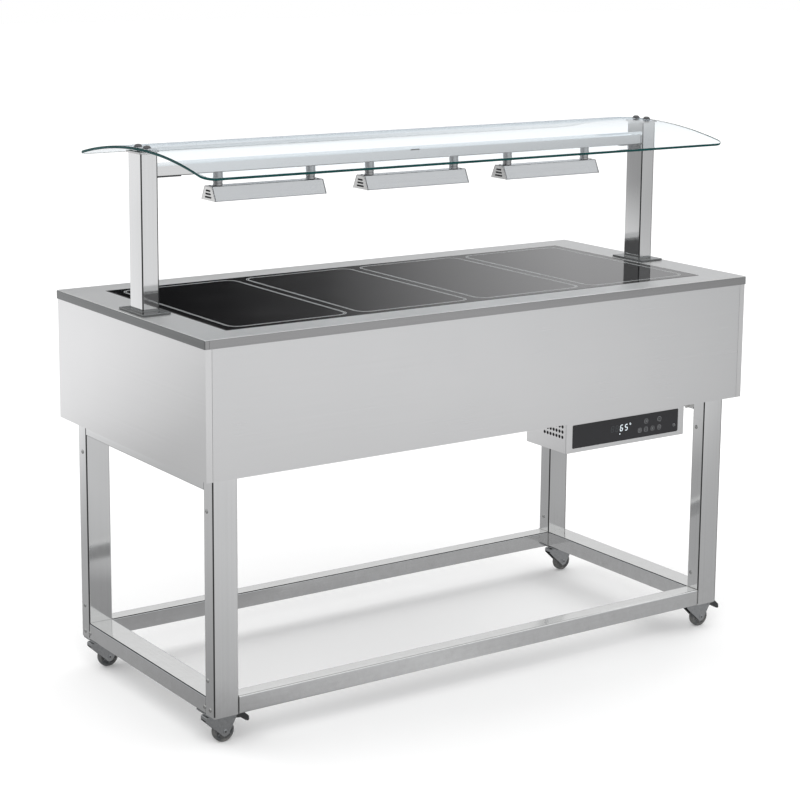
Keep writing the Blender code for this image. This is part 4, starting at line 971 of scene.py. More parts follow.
lamp = dict(roof=0.032, mouth=0.060, height=0.032, sheet=0.0013, lip=0.0030, joint=0.0013,
            slots=3, slotWidth=0.026, slotHeight=0.0040, slotStart=0.0075, slotPitch=0.0072,
            tubeRadius=0.0046, tubeBore=0.0037, filament=0.0003, coilRadius=0.0021,
            coilPitch=0.0032, coilPoints=900, screwReach=0.0165, screwSpread=0.006)


def hoodOutline(inset):
    # the hood's section, open below: out along one side, back along the other one sheet in
    roof, mouth, height, lip = lamp["roof"] / 2, lamp["mouth"] / 2, lamp["height"], lamp["lip"]
    lean = (mouth - roof) / (height - lip)
    bend = 0.0022
    left = [(-mouth, 0), (-mouth, lip), (-roof - lean * bend, height - bend),
            (-roof - 0.0002, height - bend * 0.35), (-roof + bend * 0.5, height)]
    outer = np.array(left + [(-a, b) for a, b in left[::-1]])
    tangent = np.gradient(outer, axis=0)
    tangent /= np.linalg.norm(tangent, axis=1)[:, None]
    inward = np.stack([tangent[:, 1], -tangent[:, 0]], axis=1)
    inner = outer + inward * inset
    inner[0, 1] = inner[-1, 1] = 0
    return np.vstack([outer, inner[::-1]])


def slottedEnd(x, floorZ, way):
    # the end plate: a trapezoid with rounded slots cut through it
    roof, mouth, height, lip = lamp["roof"] / 2, lamp["mouth"] / 2, lamp["height"], lamp["lip"]
    small = 0.0016
    outline = [(-mouth + small, 0.0003), (mouth - small, 0.0003), (mouth - small, lip),
               (roof - small, height - small), (-roof + small, height - small),
               (-mouth + small, lip)]
    holes = []
    for i in range(lamp["slots"]):
        z = lamp["slotStart"] + i * lamp["slotPitch"]
        half = lamp["slotWidth"] / 2 * (1.12 - 0.17 * i)
        loopPoints = roundedLoop(half, lamp["slotHeight"] / 2, lamp["slotHeight"] / 2 - 1e-4,
                                 centre=(0, z), steps=4)[:, :2]
        holes.append(loopPoints[::-1])
    return holedPlate(np.array(outline), holes, 0.0012, "X", (x + way * 0.0006, 0, floorZ),
                      0.0001)


def buildLamp(number):
    # the hood's section carried along the lamp, closed by a slotted plate at each end
    node = f"lamp_housing_{number}"
    low, high = corner(node)
    floorZ = low[2]
    section = hoodOutline(lamp["sheet"])
    rings = []
    for x in (low[0] + 0.0004, high[0] - 0.0004):
        rings.append(np.column_stack([np.full(len(section), x), section[:, 0],
                                      section[:, 1] + floorZ]))
    hood = loft(rings)
    makePiece(f"lamp_hood_{number}", [hood], finish["lamp"],
              replaces=[node], sharp=28)
    ends = [slottedEnd(low[0] + 0.0004, floorZ, 1), slottedEnd(high[0] - 0.0004, floorZ, -1)]
    makePiece(f"lamp_end_plates_{number}", ends, finish["reflector"])
    # painted shade: dark plates behind the slots; and a dark joint round each end of the hood
    roof, mouth, height = lamp["roof"] / 2, lamp["mouth"] / 2, lamp["height"]
    shadeBehindSlots = np.array([(-mouth + 0.0034, 0.0012), (mouth - 0.0034, 0.0012),
                       (roof - 0.0026, height - 0.0032), (-roof + 0.0026, height - 0.0032)])
    around = section * (1.012, 1.0) + (0, 0.0002)
    dark = []
    for x, way in ((low[0], 1), (high[0], -1)):
        dark.append(holedPlate(shadeBehindSlots, [], 0.0006, "X", (x + way * 0.0032, 0, floorZ), 0.0))
        start, end = sorted((x + way * 0.0016, x + way * (0.0016 + lamp["joint"])))
        dark.append(loft([np.column_stack([np.full(len(around), at), around[:, 0],
                                           around[:, 1] + floorZ]) for at in (start, end)]))
    makePiece(f"lamp_joint_and_painted_shade_{number}", dark, finish["jointAndPaintedShade"])
    # a bent reflector under the roof: half width times cosine, rise times sine
    angle = np.linspace(0.12, np.pi - 0.12, 22)
    outer = np.column_stack([0.0225 * np.cos(angle), 0.006 + 0.0215 * np.sin(angle) ** 0.8])
    thin = np.column_stack([0.0219 * np.cos(angle), 0.006 + 0.0207 * np.sin(angle) ** 0.8])
    profile = np.vstack([outer, thin[::-1]])
    rings = [np.column_stack([np.full(len(profile), x), profile[:, 0], profile[:, 1] + floorZ])
             for x in (low[0] + 0.005, high[0] - 0.005)]
    makePiece(f"lamp_reflector_{number}", [loft(rings)], finish["reflector"])
    heaterLow, heaterHigh = corner(f"lamp_heater_{number}")
    axisZ = heaterLow[2] + 0.006
    middleX = (heaterLow[0] + heaterHigh[0]) / 2
    span = heaterHigh[0] - heaterLow[0]
    outside, bore, tubeEnd = lamp["tubeRadius"], lamp["tubeBore"], span / 2 - 0.012
    tube = aim(turned([(outside, -tubeEnd), (outside, tubeEnd), (bore, tubeEnd),
                       (bore, -tubeEnd)], 28, ring=True), "X", (middleX, 0, axisZ))
    makePiece(f"lamp_quartz_{number}", [tube], finish["quartz"],
              replaces=[f"lamp_heater_{number}"])
    ends = [aim(turned([(0, -0.0085), (0.0050, -0.0085), (0.0058, -0.0077), (0.0058, 0.0077),
                        (0.0050, 0.0085), (0, 0.0085)], 28), "X",
                (middleX + way * (span / 2 - 0.0085), 0, axisZ)) for way in (-1, 1)]
    ends += [bar((middleX + way * (span / 2 - 0.010) - 0.003, -0.003, axisZ + 0.003),
                 (middleX + way * (span / 2 - 0.010) + 0.003, 0.003, heaterHigh[2]), "Z", 0.0006)
             for way in (-1, 1)]
    makePiece(f"lamp_end_caps_{number}", ends, finish["porcelain"])
    # the filament's path is a helix: along the tube, with cosine and sine of one turn a pitch
    along = np.linspace(-span / 2 + 0.018, span / 2 - 0.018, lamp["coilPoints"])
    wind = along * 2 * np.pi / lamp["coilPitch"]
    coil = np.column_stack([middleX + along, lamp["coilRadius"] * np.cos(wind),
                            axisZ + lamp["coilRadius"] * np.sin(wind)])
    makePiece(f"lamp_filament_{number}", [sweep(coil, lamp["filament"], 5)], finish["copper"])
    heads = []
    for sideName in ("left", "right"):
        standoff = f"lamp_standoff_{number}_{sideName}"
        offLow, offHigh = corner(standoff)
        x = (offLow[0] + offHigh[0]) / 2
        radius = (offHigh[0] - offLow[0]) / 2
        bottom, top = offLow[2], offHigh[2]
        profile = [(0, bottom), (radius - 0.0008, bottom), (radius, bottom + 0.0008),
                   (radius, bottom + 0.0050), (radius - 0.0007, bottom + 0.0056),
                   (radius - 0.0007, bottom + 0.0068), (radius, bottom + 0.0074),
                   (radius, top - 0.0008), (radius - 0.0008, top), (0, top)]
        makePiece(standoff + "_turned", [shift(turned(profile, 40), (x, 0, 0))],
                  finish["standoff"], replaces=[standoff])
        out = x + (-1 if sideName == "left" else 1) * lamp["screwReach"]
        for y in (-lamp["screwSpread"], lamp["screwSpread"]):
            heads.append(screwOn("Z", 1, (out, y, high[2]), radius=0.0030, height=0.0016,
                                 socket=0.0010, sink=0.0008))
    makePiece(f"lamp_screws_{number}", heads, finish["screw"])


for number in (1, 2, 3):
    buildLamp(number)
print("lamps built")

control = dict(
    sheet=0.0015, edge=0.0008, panelGap=0.0003, ventRadius=0.0040, ventColumns=7, ventRows=4,
    ventPitchY=0.011, ventPitchZ=0.0125, ventFront=0.012, ventTop=0.010,
    # rings of the finger guard in front of the fan: radius and number of holes
    guardRings=((0.0085, 6), (0.017, 12), (0.0250, 18)), guardHole=0.0032, glandHole=0.0085,
    bracketLow=(0.596, -0.317, 0.5835), bracketHigh=(0.624, -0.3155, 0.6045),
    bracketBolt=(0.605, -0.317, 0.5905))
# places on the touch panel are shares of its width from the left and of its height from the top
touch = dict(
    digitSize=0.25, digitDown=0.445, litDigits=((0.455, "6"), (0.500, "5")),
    unlitDigits=(0.370, 0.412), degree=(0.538, 0.32), degreeRadius=0.0024, dot=(0.440, 0.70),
    dotRadius=0.0013, keyRadius=0.0058, signReach=0.0024, squareReach=0.0018,
    keys=((0.69, 0.32, "plus"), (0.817, 0.32, "minus"), (0.63, 0.685, "square"),
          (0.69, 0.685, "minus"), (0.753, 0.685, "plus"), (0.817, 0.685, "square")),
    sensor=(0.962, 0.70), sensorRadius=0.0036)
sevenSegments = {"6": "acdefg", "5": "acdfg", "8": "abcdefg"}


def segmentDigit(character, x, z, height, y):
    # seven bars with pointed ends on a box half as wide as it is high, each place moved
    # sideways by a tenth of its height
    width, thick = height * 0.52, height * 0.11
    half = height / 2
    spots = dict(a=(0, half, 1), g=(0, 0, 1), d=(0, -half, 1),
                 f=(-width / 2, half / 2, 0), b=(width / 2, half / 2, 0),
                 e=(-width / 2, -half / 2, 0), c=(width / 2, -half / 2, 0))
    shapes = []
    for name in sevenSegments[character]:
        dx, dz, flat = spots[name]
        long = (width if flat else half) / 2 - thick * 0.25
        tip = thick / 2
        outline = np.array([(-long, 0), (-long + tip, tip), (long - tip, tip), (long, 0),
                            (long - tip, -tip), (-long + tip, -tip)])
        if not flat:
            outline = outline[:, ::-1]
        outline = outline + [dx, dz]
        outline[:, 0] += outline[:, 1] * 0.10
        points = np.column_stack([outline[:, 0] + x, np.full(6, y), outline[:, 1] + z])
        back = points + [0, 0.0002, 0]
        shapes.append(loft(np.stack([points, back])))
    return shapes


def ringKey(x, z, radius, y, line=0.0005):
    # a thin round band seen from the front
    angle = np.arange(36) * 2 * np.pi / 36
    loops = []
    for size, depth in ((radius, 0.0), (radius, -0.00015), (radius - line, -0.00015),
                        (radius - line, 0.0)):
        loops.append(np.column_stack([x + size * np.cos(angle), np.full(36, y + depth),
                                      z + size * np.sin(angle)]))
    return loft(loops, around=True)


def stroke(x0, z0, x1, z1, y, width=0.0006):
    # a thin rectangle round the line between two places, half its width to each side
    direction = np.array([x1 - x0, z1 - z0])
    direction = direction / np.linalg.norm(direction)
    side = np.array([-direction[1], direction[0]]) * width / 2
    flat = np.array([[x0 - side[0], z0 - side[1]], [x1 - side[0], z1 - side[1]],
                     [x1 + side[0], z1 + side[1]], [x0 + side[0], z0 + side[1]]])
    front = np.column_stack([flat[:, 0], np.full(4, y - 0.00015), flat[:, 1]])
    return loft(np.stack([front, front + [0, 0.00015, 0]]))


def buildControlBox():
    # sheets with round holes: each hole's points are its middle plus radius times cosine and
    # sine, clockwise
    low, high = corner("control_box")
    sheet = control["sheet"]
    holes = []
    angle = -np.arange(20) * 2 * np.pi / 20
    for row in range(control["ventRows"]):
        for column in range(control["ventColumns"]):
            y = low[1] + control["ventFront"] + column * control["ventPitchY"]
            z = high[2] - control["ventTop"] - row * control["ventPitchZ"]
            holes.append(np.column_stack([y + control["ventRadius"] * np.cos(angle),
                                          z + control["ventRadius"] * np.sin(angle)]))
    side = roundedLoop((high[1] - low[1]) / 2, (high[2] - low[2]) / 2, 0.0012,
                       centre=((low[1] + high[1]) / 2, (low[2] + high[2]) / 2), steps=3)[:, :2]
    vented = holedPlate(side, holes, sheet, "X", (low[0] + sheet / 2, 0, 0))
    plain = holedPlate(side, [], sheet, "X", (high[0] - sheet / 2, 0, 0))
    floorPlate = bar((low[0] + sheet, low[1], low[2]), (high[0] - sheet, high[1], low[2] + sheet),
                     "X", 0.0007, 0.0002)
    lid = bar((low[0] + sheet, low[1], high[2] - sheet), (high[0] - sheet, high[1], high[2]),
              "X", 0.0007, 0.0002)
    fanLow, fanHigh = corner("fan_rotor")
    fanMiddle = (fanLow + fanHigh) / 2
    glandLow, glandHigh = corner("cable_gland")
    glandMiddle = (glandLow + glandHigh) / 2
    rearHoles = []
    grille = [(0.0, 0.0)]
    for ringRadius, count in control["guardRings"]:
        grille += [(ringRadius * math.cos(2 * math.pi * i / count),
                    ringRadius * math.sin(2 * math.pi * i / count)) for i in range(count)]
    small = -np.arange(12) * 2 * np.pi / 12
    hole = control["guardHole"]
    for dx, dz in grille:
        rearHoles.append(np.column_stack([fanMiddle[2] + dz + hole * np.cos(small),
                                          fanMiddle[0] + dx + hole * np.sin(small)]))
    hole = control["glandHole"]
    rearHoles.append(np.column_stack([glandMiddle[2] + hole * np.cos(angle),
                                      glandMiddle[0] + hole * np.sin(angle)]))
    rear = roundedLoop((high[2] - low[2]) / 2 - sheet, (high[0] - low[0]) / 2 - sheet, 0.0004,
                       centre=((low[2] + high[2]) / 2, (low[0] + high[0]) / 2), steps=2)[:, :2]
    back = holedPlate(rear, rearHoles, sheet, "Y", (0, high[1] - sheet / 2, 0))
    makePiece("control_case", [vented, plain, floorPlate, lid, back], finish["boxSteel"],
              replaces=["control_box"])
    # a dark sheet behind the vent holes: painted shade inside the box
    ventShade = bar((low[0] + sheet + 0.0010, low[1] + 0.006, high[2] - 0.052),
                (low[0] + sheet + 0.0016, low[1] + 0.090, high[2] - 0.003), "X", 0.0004, 0.0001)
    makePiece("vent_painted_shade", [ventShade], finish["jointAndPaintedShade"])

    panelLow, panelHigh = corner("control_front_panel")
    touchLow, touchHigh = corner("touch_panel")
    gap = control["panelGap"]
    middle = ((panelLow[0] + panelHigh[0]) / 2, (panelLow[2] + panelHigh[2]) / 2)
    halfX, halfZ = (panelHigh[0] - panelLow[0]) / 2, (panelHigh[2] - panelLow[2]) / 2
    touchMiddle = ((touchLow[0] + touchHigh[0]) / 2, (touchLow[2] + touchHigh[2]) / 2)
    recessX = (touchHigh[0] - touchLow[0]) / 2 + gap
    recessZ = (touchHigh[2] - touchLow[2]) / 2 + gap
    front, rearY = panelLow[1], panelHigh[1]
    edge = control["edge"]
    rows = [(halfX, halfZ, 0.002, rearY, middle), (halfX, halfZ, 0.002, front + edge, middle),
            (halfX - edge * 0.3, halfZ - edge * 0.3, 0.002, front + edge * 0.3, middle),
            (halfX - edge, halfZ - edge, 0.0015, front, middle),
            (recessX + 0.0004, recessZ + 0.0004, 0.0032, front, touchMiddle),
            (recessX, recessZ, 0.003, front + 0.0004, touchMiddle),
            (recessX, recessZ, 0.003, touchHigh[1] + gap, touchMiddle)]
    loops = []
    for x, z, radius, y, centre in rows:
        flat = roundedLoop(x, z, radius, centre=centre, steps=5)
        loops.append(np.column_stack([flat[:, 0], np.full(len(flat), y), flat[:, 1]]))
    makePiece("control_bezel", [loft(loops)], finish["skirtLong"],
              replaces=["control_front_panel"], sharp=40)
    glassLoops = []
    for inset, y in ((0.0, touchHigh[1]), (0.0, touchLow[1] + 0.0003),
                     (0.0003, touchLow[1] - 0.0002)):
        flat = roundedLoop(recessX - gap - inset, recessZ - gap - inset, 0.0028 - inset,
                           centre=touchMiddle, steps=5)
        glassLoops.append(np.column_stack([flat[:, 0], np.full(len(flat), y), flat[:, 1]]))
    makePiece("control_foil", [loft(glassLoops)], finish["foil"],
              replaces=["touch_panel"])

    face = touchLow[1] - 0.0002
    wide, tall = touchHigh[0] - touchLow[0], touchHigh[2] - touchLow[2]

    def spot(across, down):
        return touchLow[0] + across * wide, touchHigh[2] - down * tall

    size, down = touch["digitSize"] * tall, touch["digitDown"]
    lit, ghosts = [], []
    for across, digit in touch["litDigits"]:
        lit += segmentDigit(digit, *spot(across, down), size, face - 0.0002)
    for across in touch["unlitDigits"]:
        ghosts += segmentDigit("8", *spot(across, down), size, face - 0.0001)
    makePiece("unlit_digits", ghosts, finish["unlit"])
    lit.append(ringKey(*spot(*touch["degree"]), touch["degreeRadius"], face, 0.0009))
    makePiece("lit_digits", lit, finish["digits"])
    x, z = spot(*touch["dot"])
    radius = touch["dotRadius"]
    dot = aim(turned([(0, -0.0002), (radius, -0.0002), (radius, 0.0), (0, 0.0)], 20), "Y",
              (x, face, z))
    makePiece("lit_dot", [dot], finish["litDot"])
    marks = []
    reach, square = touch["signReach"], touch["squareReach"]
    for across, down, sign in touch["keys"]:
        x, z = spot(across, down)
        marks.append(ringKey(x, z, touch["keyRadius"], face))
        if sign != "square":
            marks.append(stroke(x - reach, z, x + reach, z, face))
        if sign == "plus":
            marks.append(stroke(x, z - reach, x, z + reach, face))
        if sign == "square":
            turns = ((-1, -1), (1, -1), (1, 1), (-1, 1), (-1, -1))
            for a, b in zip(turns[:-1], turns[1:]):
                marks.append(stroke(x + a[0] * square, z + a[1] * square,
                                    x + b[0] * square, z + b[1] * square, face, 0.0004))
    x, z = spot(*touch["sensor"])
    marks.append(ringKey(x, z, touch["sensorRadius"], face))
    marks.append(stroke(x, z, x, z + touch["sensorRadius"], face))
    makePiece("key_marks", marks, finish["keyPrint"])

    half = (glandHigh[1] - glandLow[1]) / 2
    y = glandMiddle[1]
    hexagon = np.arange(36) * 2 * np.pi / 36
    nutRadius = 0.0105 / np.cos((hexagon + np.pi / 6) % (np.pi / 3) - np.pi / 6)

    def nutRing(share, depth):
        return np.column_stack([glandMiddle[0] + share * nutRadius * np.cos(hexagon),
                                np.full(36, depth),
                                glandMiddle[2] + share * nutRadius * np.sin(hexagon)])

    wallOuter = high[1]
    nut = loft([nutRing(0.80, wallOuter + 0.0002), nutRing(1.0, wallOuter + 0.0010),
                nutRing(1.0, wallOuter + 0.0075), nutRing(0.90, wallOuter + 0.0085),
                nutRing(0.55, wallOuter + 0.0085), nutRing(0.55, wallOuter + 0.0002)],
               around=True)
    dome = aim(turned([(0.0055, -half), (0.0078, -half), (0.0078, half - 0.017),
                       (0.0096, half - 0.0155), (0.0096, half - 0.006),
                       (0.0088, half - 0.003), (0.0074, half - 0.0006), (0.0066, half),
                       (0.0055, half)], 40, ring=True), "Y", (glandMiddle[0], y, glandMiddle[2]))
    makePiece("gland_body", [nut, dome], finish["plastic"],
              replaces=["cable_gland"])

    bracket = bar(control["bracketLow"], control["bracketHigh"], "Y", 0.0020, 0.0004)
    bolt = screwOn("Y", -1, control["bracketBolt"], radius=0.0042, height=0.0022)
    makePiece("box_bracket", [bracket, bolt], finish["brightScrew"])


buildControlBox()
print("control box built")

castor = dict(width=0.018, radius=0.025, hub=0.0095, webRibs=6, trail=0.014, sheet=0.0022,
              nose=0.042, rear=0.033, eye=0.011, race=0.021, pinBack=0.004, pinDrop=0.011,
              plate=0.0025, boltX=0.021, boltY=0.031, bolt=0.0042, pedalRibs=4)


def buildCastor(name):
    # turned wheel and race, pressed cheeks, all placed from the node's wheel and plate
    plateLow, plateHigh = corner("castor_plate_" + name)
    forkHigh = corner("castor_fork_" + name)[1]
    wheelLow, wheelHigh = corner("castor_wheel_" + name)
    axle = (wheelLow + wheelHigh) / 2
    pivot = ((plateLow[0] + plateHigh[0]) / 2, (plateLow[1] + plateHigh[1]) / 2)
    braked = name.startswith("front")
    radius, half = castor["radius"], castor["width"] / 2
    # wheel: a crowned tread, a rounded shoulder, a sunk web and a raised hub
    crown = np.linspace(-1, 1, 9)
    profile = [(0.0045, -half + 0.0008), (castor["hub"] - 0.001, -half + 0.0004),
               (castor["hub"], -half + 0.0012), (castor["hub"] + 0.0006, -half + 0.0032),
               (radius - 0.0085, -half + 0.0034), (radius - 0.0070, -half + 0.0012),
               (radius - 0.0058, -half + 0.0004), (radius - 0.0030, -half + 0.0004)]
    profile += [(radius - 0.0011 * c ** 2 - 0.0014 * c ** 8, c * (half - 0.0010)) for c in crown]
    profile += [(r, -z) for r, z in profile[7::-1]]
    wheel = aim(turned(profile, 56, ring=True), "Y", axle)
    makePiece("castor_tyre_" + name, [wheel], finish["rubber"], body="wheel_" + name,
              replaces=["castor_wheel_" + name], sharp=40)
    ribs = []
    for i in range(castor["webRibs"]):
        for way in (-1, 1):
            low = (axle[0] - 0.0007, axle[1] + way * (half - 0.0034), axle[2] + castor["hub"])
            high = (axle[0] + 0.0007, axle[1] + way * (half - 0.0018), axle[2] + radius - 0.0078)
            ribs.append(turn(bar(low, high, "Z", 0.0003, 0.0002, 2),
                             360 / castor["webRibs"] * i, "Y", axle))
    makePiece("castor_web_" + name, ribs, finish["greyPlastic"], body="wheel_" + name)

    # fork: two pressed cheeks and a domed top with a turned race
    top, trail = forkHigh[2], castor["trail"]
    inside, sheet = half + 0.0008, castor["sheet"]
    eye = (trail, axle[2])
    cheek = np.vstack([
        arcPoints((-castor["rear"] + 0.003, top - 0.003), 0.003, 90, 180, 4),
        arcPoints((-castor["rear"] + 0.004, top - 0.009), 0.004, 180, 222, 3),
        arcPoints(eye, castor["eye"], 214, 334, 14),
        arcPoints((castor["nose"] - 0.003, top - 0.011), 0.003, 334, 360, 3),
        arcPoints((castor["nose"] - 0.003, top - 0.003), 0.003, 0, 90, 4),
    ])
    cheeks = [extruded(cheek[:, ::-1], sheet, "Y",
                       (pivot[0], pivot[1] + way * (inside + sheet / 2), 0), 0.0005)
              for way in (-1, 1)]
    roofEnd = pivot[0] + (castor["race"] + 0.0003 if braked else castor["nose"] - 0.001)
    roof = bar((pivot[0] - castor["rear"] + 0.001, pivot[1] - inside - 0.0004, top - sheet),
               (roofEnd, pivot[1] + inside + 0.0004, top), "X", 0.0006, 0.0004)
    rearWall = bar((pivot[0] - castor["rear"], pivot[1] - inside, top - 0.008),
                   (pivot[0] - castor["rear"] + sheet, pivot[1] + inside, top - 0.0005), "Y",
                   0.0008, 0.0003)
    axlePin = aim(turned([(0, -inside - sheet - 0.0016), (0.0040, -inside - sheet - 0.0016),
                          (0.0052, -inside - sheet - 0.0010), (0.0052, -inside - sheet),
                          (0.0039, -inside - sheet), (0.0039, inside + sheet),
                          (0.0052, inside + sheet), (0.0052, inside + sheet + 0.0010),
                          (0.0040, inside + sheet + 0.0016), (0, inside + sheet + 0.0016)], 32),
                  "Y", axle)
    shapes = cheeks + [roof, rearWall, axlePin]
    if braked:
        pinAt = (pivot[0] + castor["nose"] - castor["pinBack"], pivot[1],
                 top - castor["pinDrop"])
        outer = inside + sheet
        shapes.append(aim(turned([(0, -outer - 0.0014), (0.0030, -outer - 0.0014),
                                  (0.0036, -outer), (0.0019, -outer), (0.0019, outer),
                                  (0.0036, outer), (0.0030, outer + 0.0014),
                                  (0, outer + 0.0014)], 24), "Y", pinAt))
    # flat dark hexagons on the axle's ends: painted shade for the socket recesses
    sockets = [aim(turned([(0, depth), (0.0021, depth), (0.0021, depth + 0.0003),
                           (0, depth + 0.0003)], 6), "Y", axle)
               for depth in (-inside - sheet - 0.0018, inside + sheet + 0.0015)]
    makePiece("castor_axle_painted_shade_" + name, sockets, finish["jointAndPaintedShade"], body="fork_" + name)
    makePiece("castor_cheeks_" + name, shapes, finish["zinc"], body="fork_" + name,
              replaces=["castor_fork_" + name])

    # plate: rounded sheet with a pressed race below it and four bolts
    under = plateHigh[2] - castor["plate"]
    plate = bar((plateLow[0], plateLow[1], under), plateHigh, "Z", 0.006, 0.0005, 6)
    race = shift(turned([(0, under + 0.001), (castor["race"], under + 0.001),
                         (castor["race"] + 0.0003, under - 0.0010),
                         (castor["race"] - 0.0010, under - 0.0026),
                         (castor["race"] - 0.0060, under - 0.0028), (0.0050, under - 0.0028),
                         (0.0050, top - sheet - 0.0003), (0.0078, top - sheet - 0.0003),
                         (0.0072, top - sheet - 0.0020), (0, top - sheet - 0.0022)], 48),
                 (pivot[0], pivot[1], 0))
    shapes = [plate, race]
    # a bolt head: the flat's half width over the cosine of the angle from its middle
    hexagon = np.arange(24) * 2 * np.pi / 24
    across = castor["bolt"] / np.cos((hexagon + np.pi / 6) % (np.pi / 3) - np.pi / 6)
    boltHead = loft([np.column_stack([share * across * np.cos(hexagon),
                                      share * across * np.sin(hexagon), np.full(24, z)])
                     for share, z in ((1.0, under - 0.0001), (1.0, under - 0.0028),
                                      (0.86, under - 0.0034))])
    for dx in (-castor["boltX"], castor["boltX"]):
        for dy in (-castor["boltY"], castor["boltY"]):
            shapes.append(shift(boltHead, (pivot[0] + dx, pivot[1] + dy, 0)))
    makePiece("castor_mount_" + name, shapes, finish["zinc"],
              replaces=["castor_plate_" + name])
    if braked:
        buildPedal(name, pinAt)


def buildPedal(name, pinAt):
    # a moulded lever, thick over the pin and thin at its ribbed tip
    low, high = corner("brake_pedal_" + name)
    width = high[1] - low[1]
    reach = high[0] - pinAt[0]
    back = low[0] - pinAt[0]
    shoeLow = low[2] - pinAt[2]
    outline = np.array([
        (back + 0.0006, shoeLow * 0.42), (back + 0.0040, shoeLow * 0.60), (0.0025, -0.0048),
        (reach * 0.45, -0.0070), (reach - 0.0075, -0.0160), (reach - 0.0015, -0.0180),
        (reach + 0.0012, -0.0150), (reach + 0.0005, -0.0075), (reach * 0.66, 0.0040),
        (reach * 0.40, 0.0076), (0.0080, 0.0092), (0.0, 0.0093), (-0.0036, 0.0060),
        (back * 0.75, 0.0)])
    shapes = [extruded(outline[:, ::-1], width, "Y", pinAt, 0.0007)]
    for share in np.linspace(0, 1, castor["pedalRibs"]):
        x = pinAt[0] + reach * (0.66 + 0.26 * share)
        z = pinAt[2] + 0.0034 - 0.0088 * share
        shapes.append(turn(bar((x - 0.0007, low[1] + 0.001, z - 0.0006),
                               (x + 0.0007, high[1] - 0.001, z + 0.0012), "Y", 0.0005, 0.0003, 2),
                           45, "Y", (x, pinAt[1], z)))
    makePiece("pedal_lever_" + name, shapes, finish["plastic"], body="pedal_" + name,
              replaces=["brake_pedal_" + name])


for name in corners:
    buildCastor(name)
print("castors built")

# CAD nodes that keep their own mesh and only get a finish
kept = dict(front_skirt="skirtLong", rear_skirt="skirtLong", left_skirt="skirtEnd",
            right_skirt="skirtEnd", bottom_tray="skirtLong", coil_tray="aluminium",
            plate_seal="silicone", power_board="board", fan_frame="plastic",
            fan_rotor="plastic", induction_coil_1="copper", induction_coil_2="copper",
            induction_coil_3="copper", induction_coil_4="copper")
for node, name in kept.items():
    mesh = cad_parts[node].data
    mesh.materials.clear()
    mesh.materials.append(finish[name])
print("kept nodes:", len(kept))

studio = dict(
    floorSize=60.0, floorTone=0.92, worldStrength=1.0, keyStrength=55.0,
    # each pair is a share of a turn, from -Y by way of -X, +Y and +X, and how bright that side is
    skyStops=((0.0, 0.25), (0.50, 0.12), (0.560, 0.01), (0.581, 0.012), (0.590, 0.10),
              (0.600, 0.44), (0.609, 0.70), (0.65, 0.80), (0.72, 0.50), (0.80, 0.25),
              (1.0, 0.25)),
    outerStops=((0.0, 0.80), (0.08, 0.70), (0.13, 0.34), (0.22, 0.34), (0.28, 0.60),
                (0.37, 0.42), (0.385, 0.34), (0.396, 0.34), (0.404, 0.60), (0.4125, 0.90),
                (0.43, 1.0), (0.56, 0.95), (0.70, 0.90), (0.80, 0.60), (0.87, 0.48),
                (0.885, 0.55), (0.925, 0.80), (1.0, 0.80)),
    farStops=((0.0, 0.76), (0.08, 0.70), (0.13, 0.34), (0.22, 0.34), (0.28, 0.70),
              (0.34, 0.78), (0.378, 0.60), (0.394, 0.80), (0.409, 1.0), (0.430, 1.0),
              (0.446, 0.50), (0.55, 0.70), (0.75, 0.70), (0.83, 0.42), (0.858, 0.50),
              (0.870, 0.68), (0.906, 0.80), (0.955, 0.80), (1.0, 0.76)),
    nearStops=((0.0, 0.60), (0.10, 0.50), (0.15, 0.34), (0.24, 0.32), (0.29, 0.37),
               (0.35, 0.40), (0.45, 0.40), (0.66, 0.40), (0.85, 0.45), (0.93, 0.50),
               (1.0, 0.60)),
    # where one band of the floor gives way to the next, in metres from the middle
    nearEdge=1.0, farEdge=3.2, outerStart=4.6, outerEdge=8.5,
    skyTone=0.76, zenithTone=1.0, lowTone=(0.56, 0.64, 0.70), bandLow=(0.095, 0.135),
    bandHigh=(0.205, 0.235), zenithRise=(0.30, 0.60), glowReach=(0.8, 4.5), glow=(0.06, 0.25),
    # name, place, diameter and share of the strength of each light
    lights=(("keyLight", (-1.8, -3.2, 3.6), 3.0, 1.0),
            ("fillLight", (3.6, 0.6, 3.0), 2.4, 0.5),
            ("rearLight", (-2.8, 1.9, 3.2), 2.6, 0.35)),
    aimHeight=0.7)


def aroundRamp(builder, vector, stops):
    # brightness by compass direction: the angle from +Y towards +X as a share of a turn
    split = builder.node("ShaderNodeSeparateXYZ")
    builder.link(vector, split.inputs[0])
    share = builder.math("MULTIPLY_ADD", builder.math(
        "ARCTAN2", split.outputs[0], split.outputs[1]), 1 / (2 * math.pi), 0.5)
    around = builder.node("ShaderNodeValToRGB")
    builder.link(share, around.inputs[0])
    ramp = around.color_ramp
    while len(ramp.elements) < len(stops):
        ramp.elements.new(0.5)
    for element, (position, value) in zip(ramp.elements, stops):
        element.position = position
        element.color = (value, value, value * 1.01, 1)
    return around.outputs[0], split.outputs[2]


def mirrorRays(builder):
    # one for a ray that a surface has mirrored, nought for one seen straight or through glass
    rays = builder.node("ShaderNodeLightPath")
    return builder.math("SUBTRACT", rays.outputs["Is Glossy Ray"],
                        rays.outputs["Is Transmission Ray"], clamp=True)


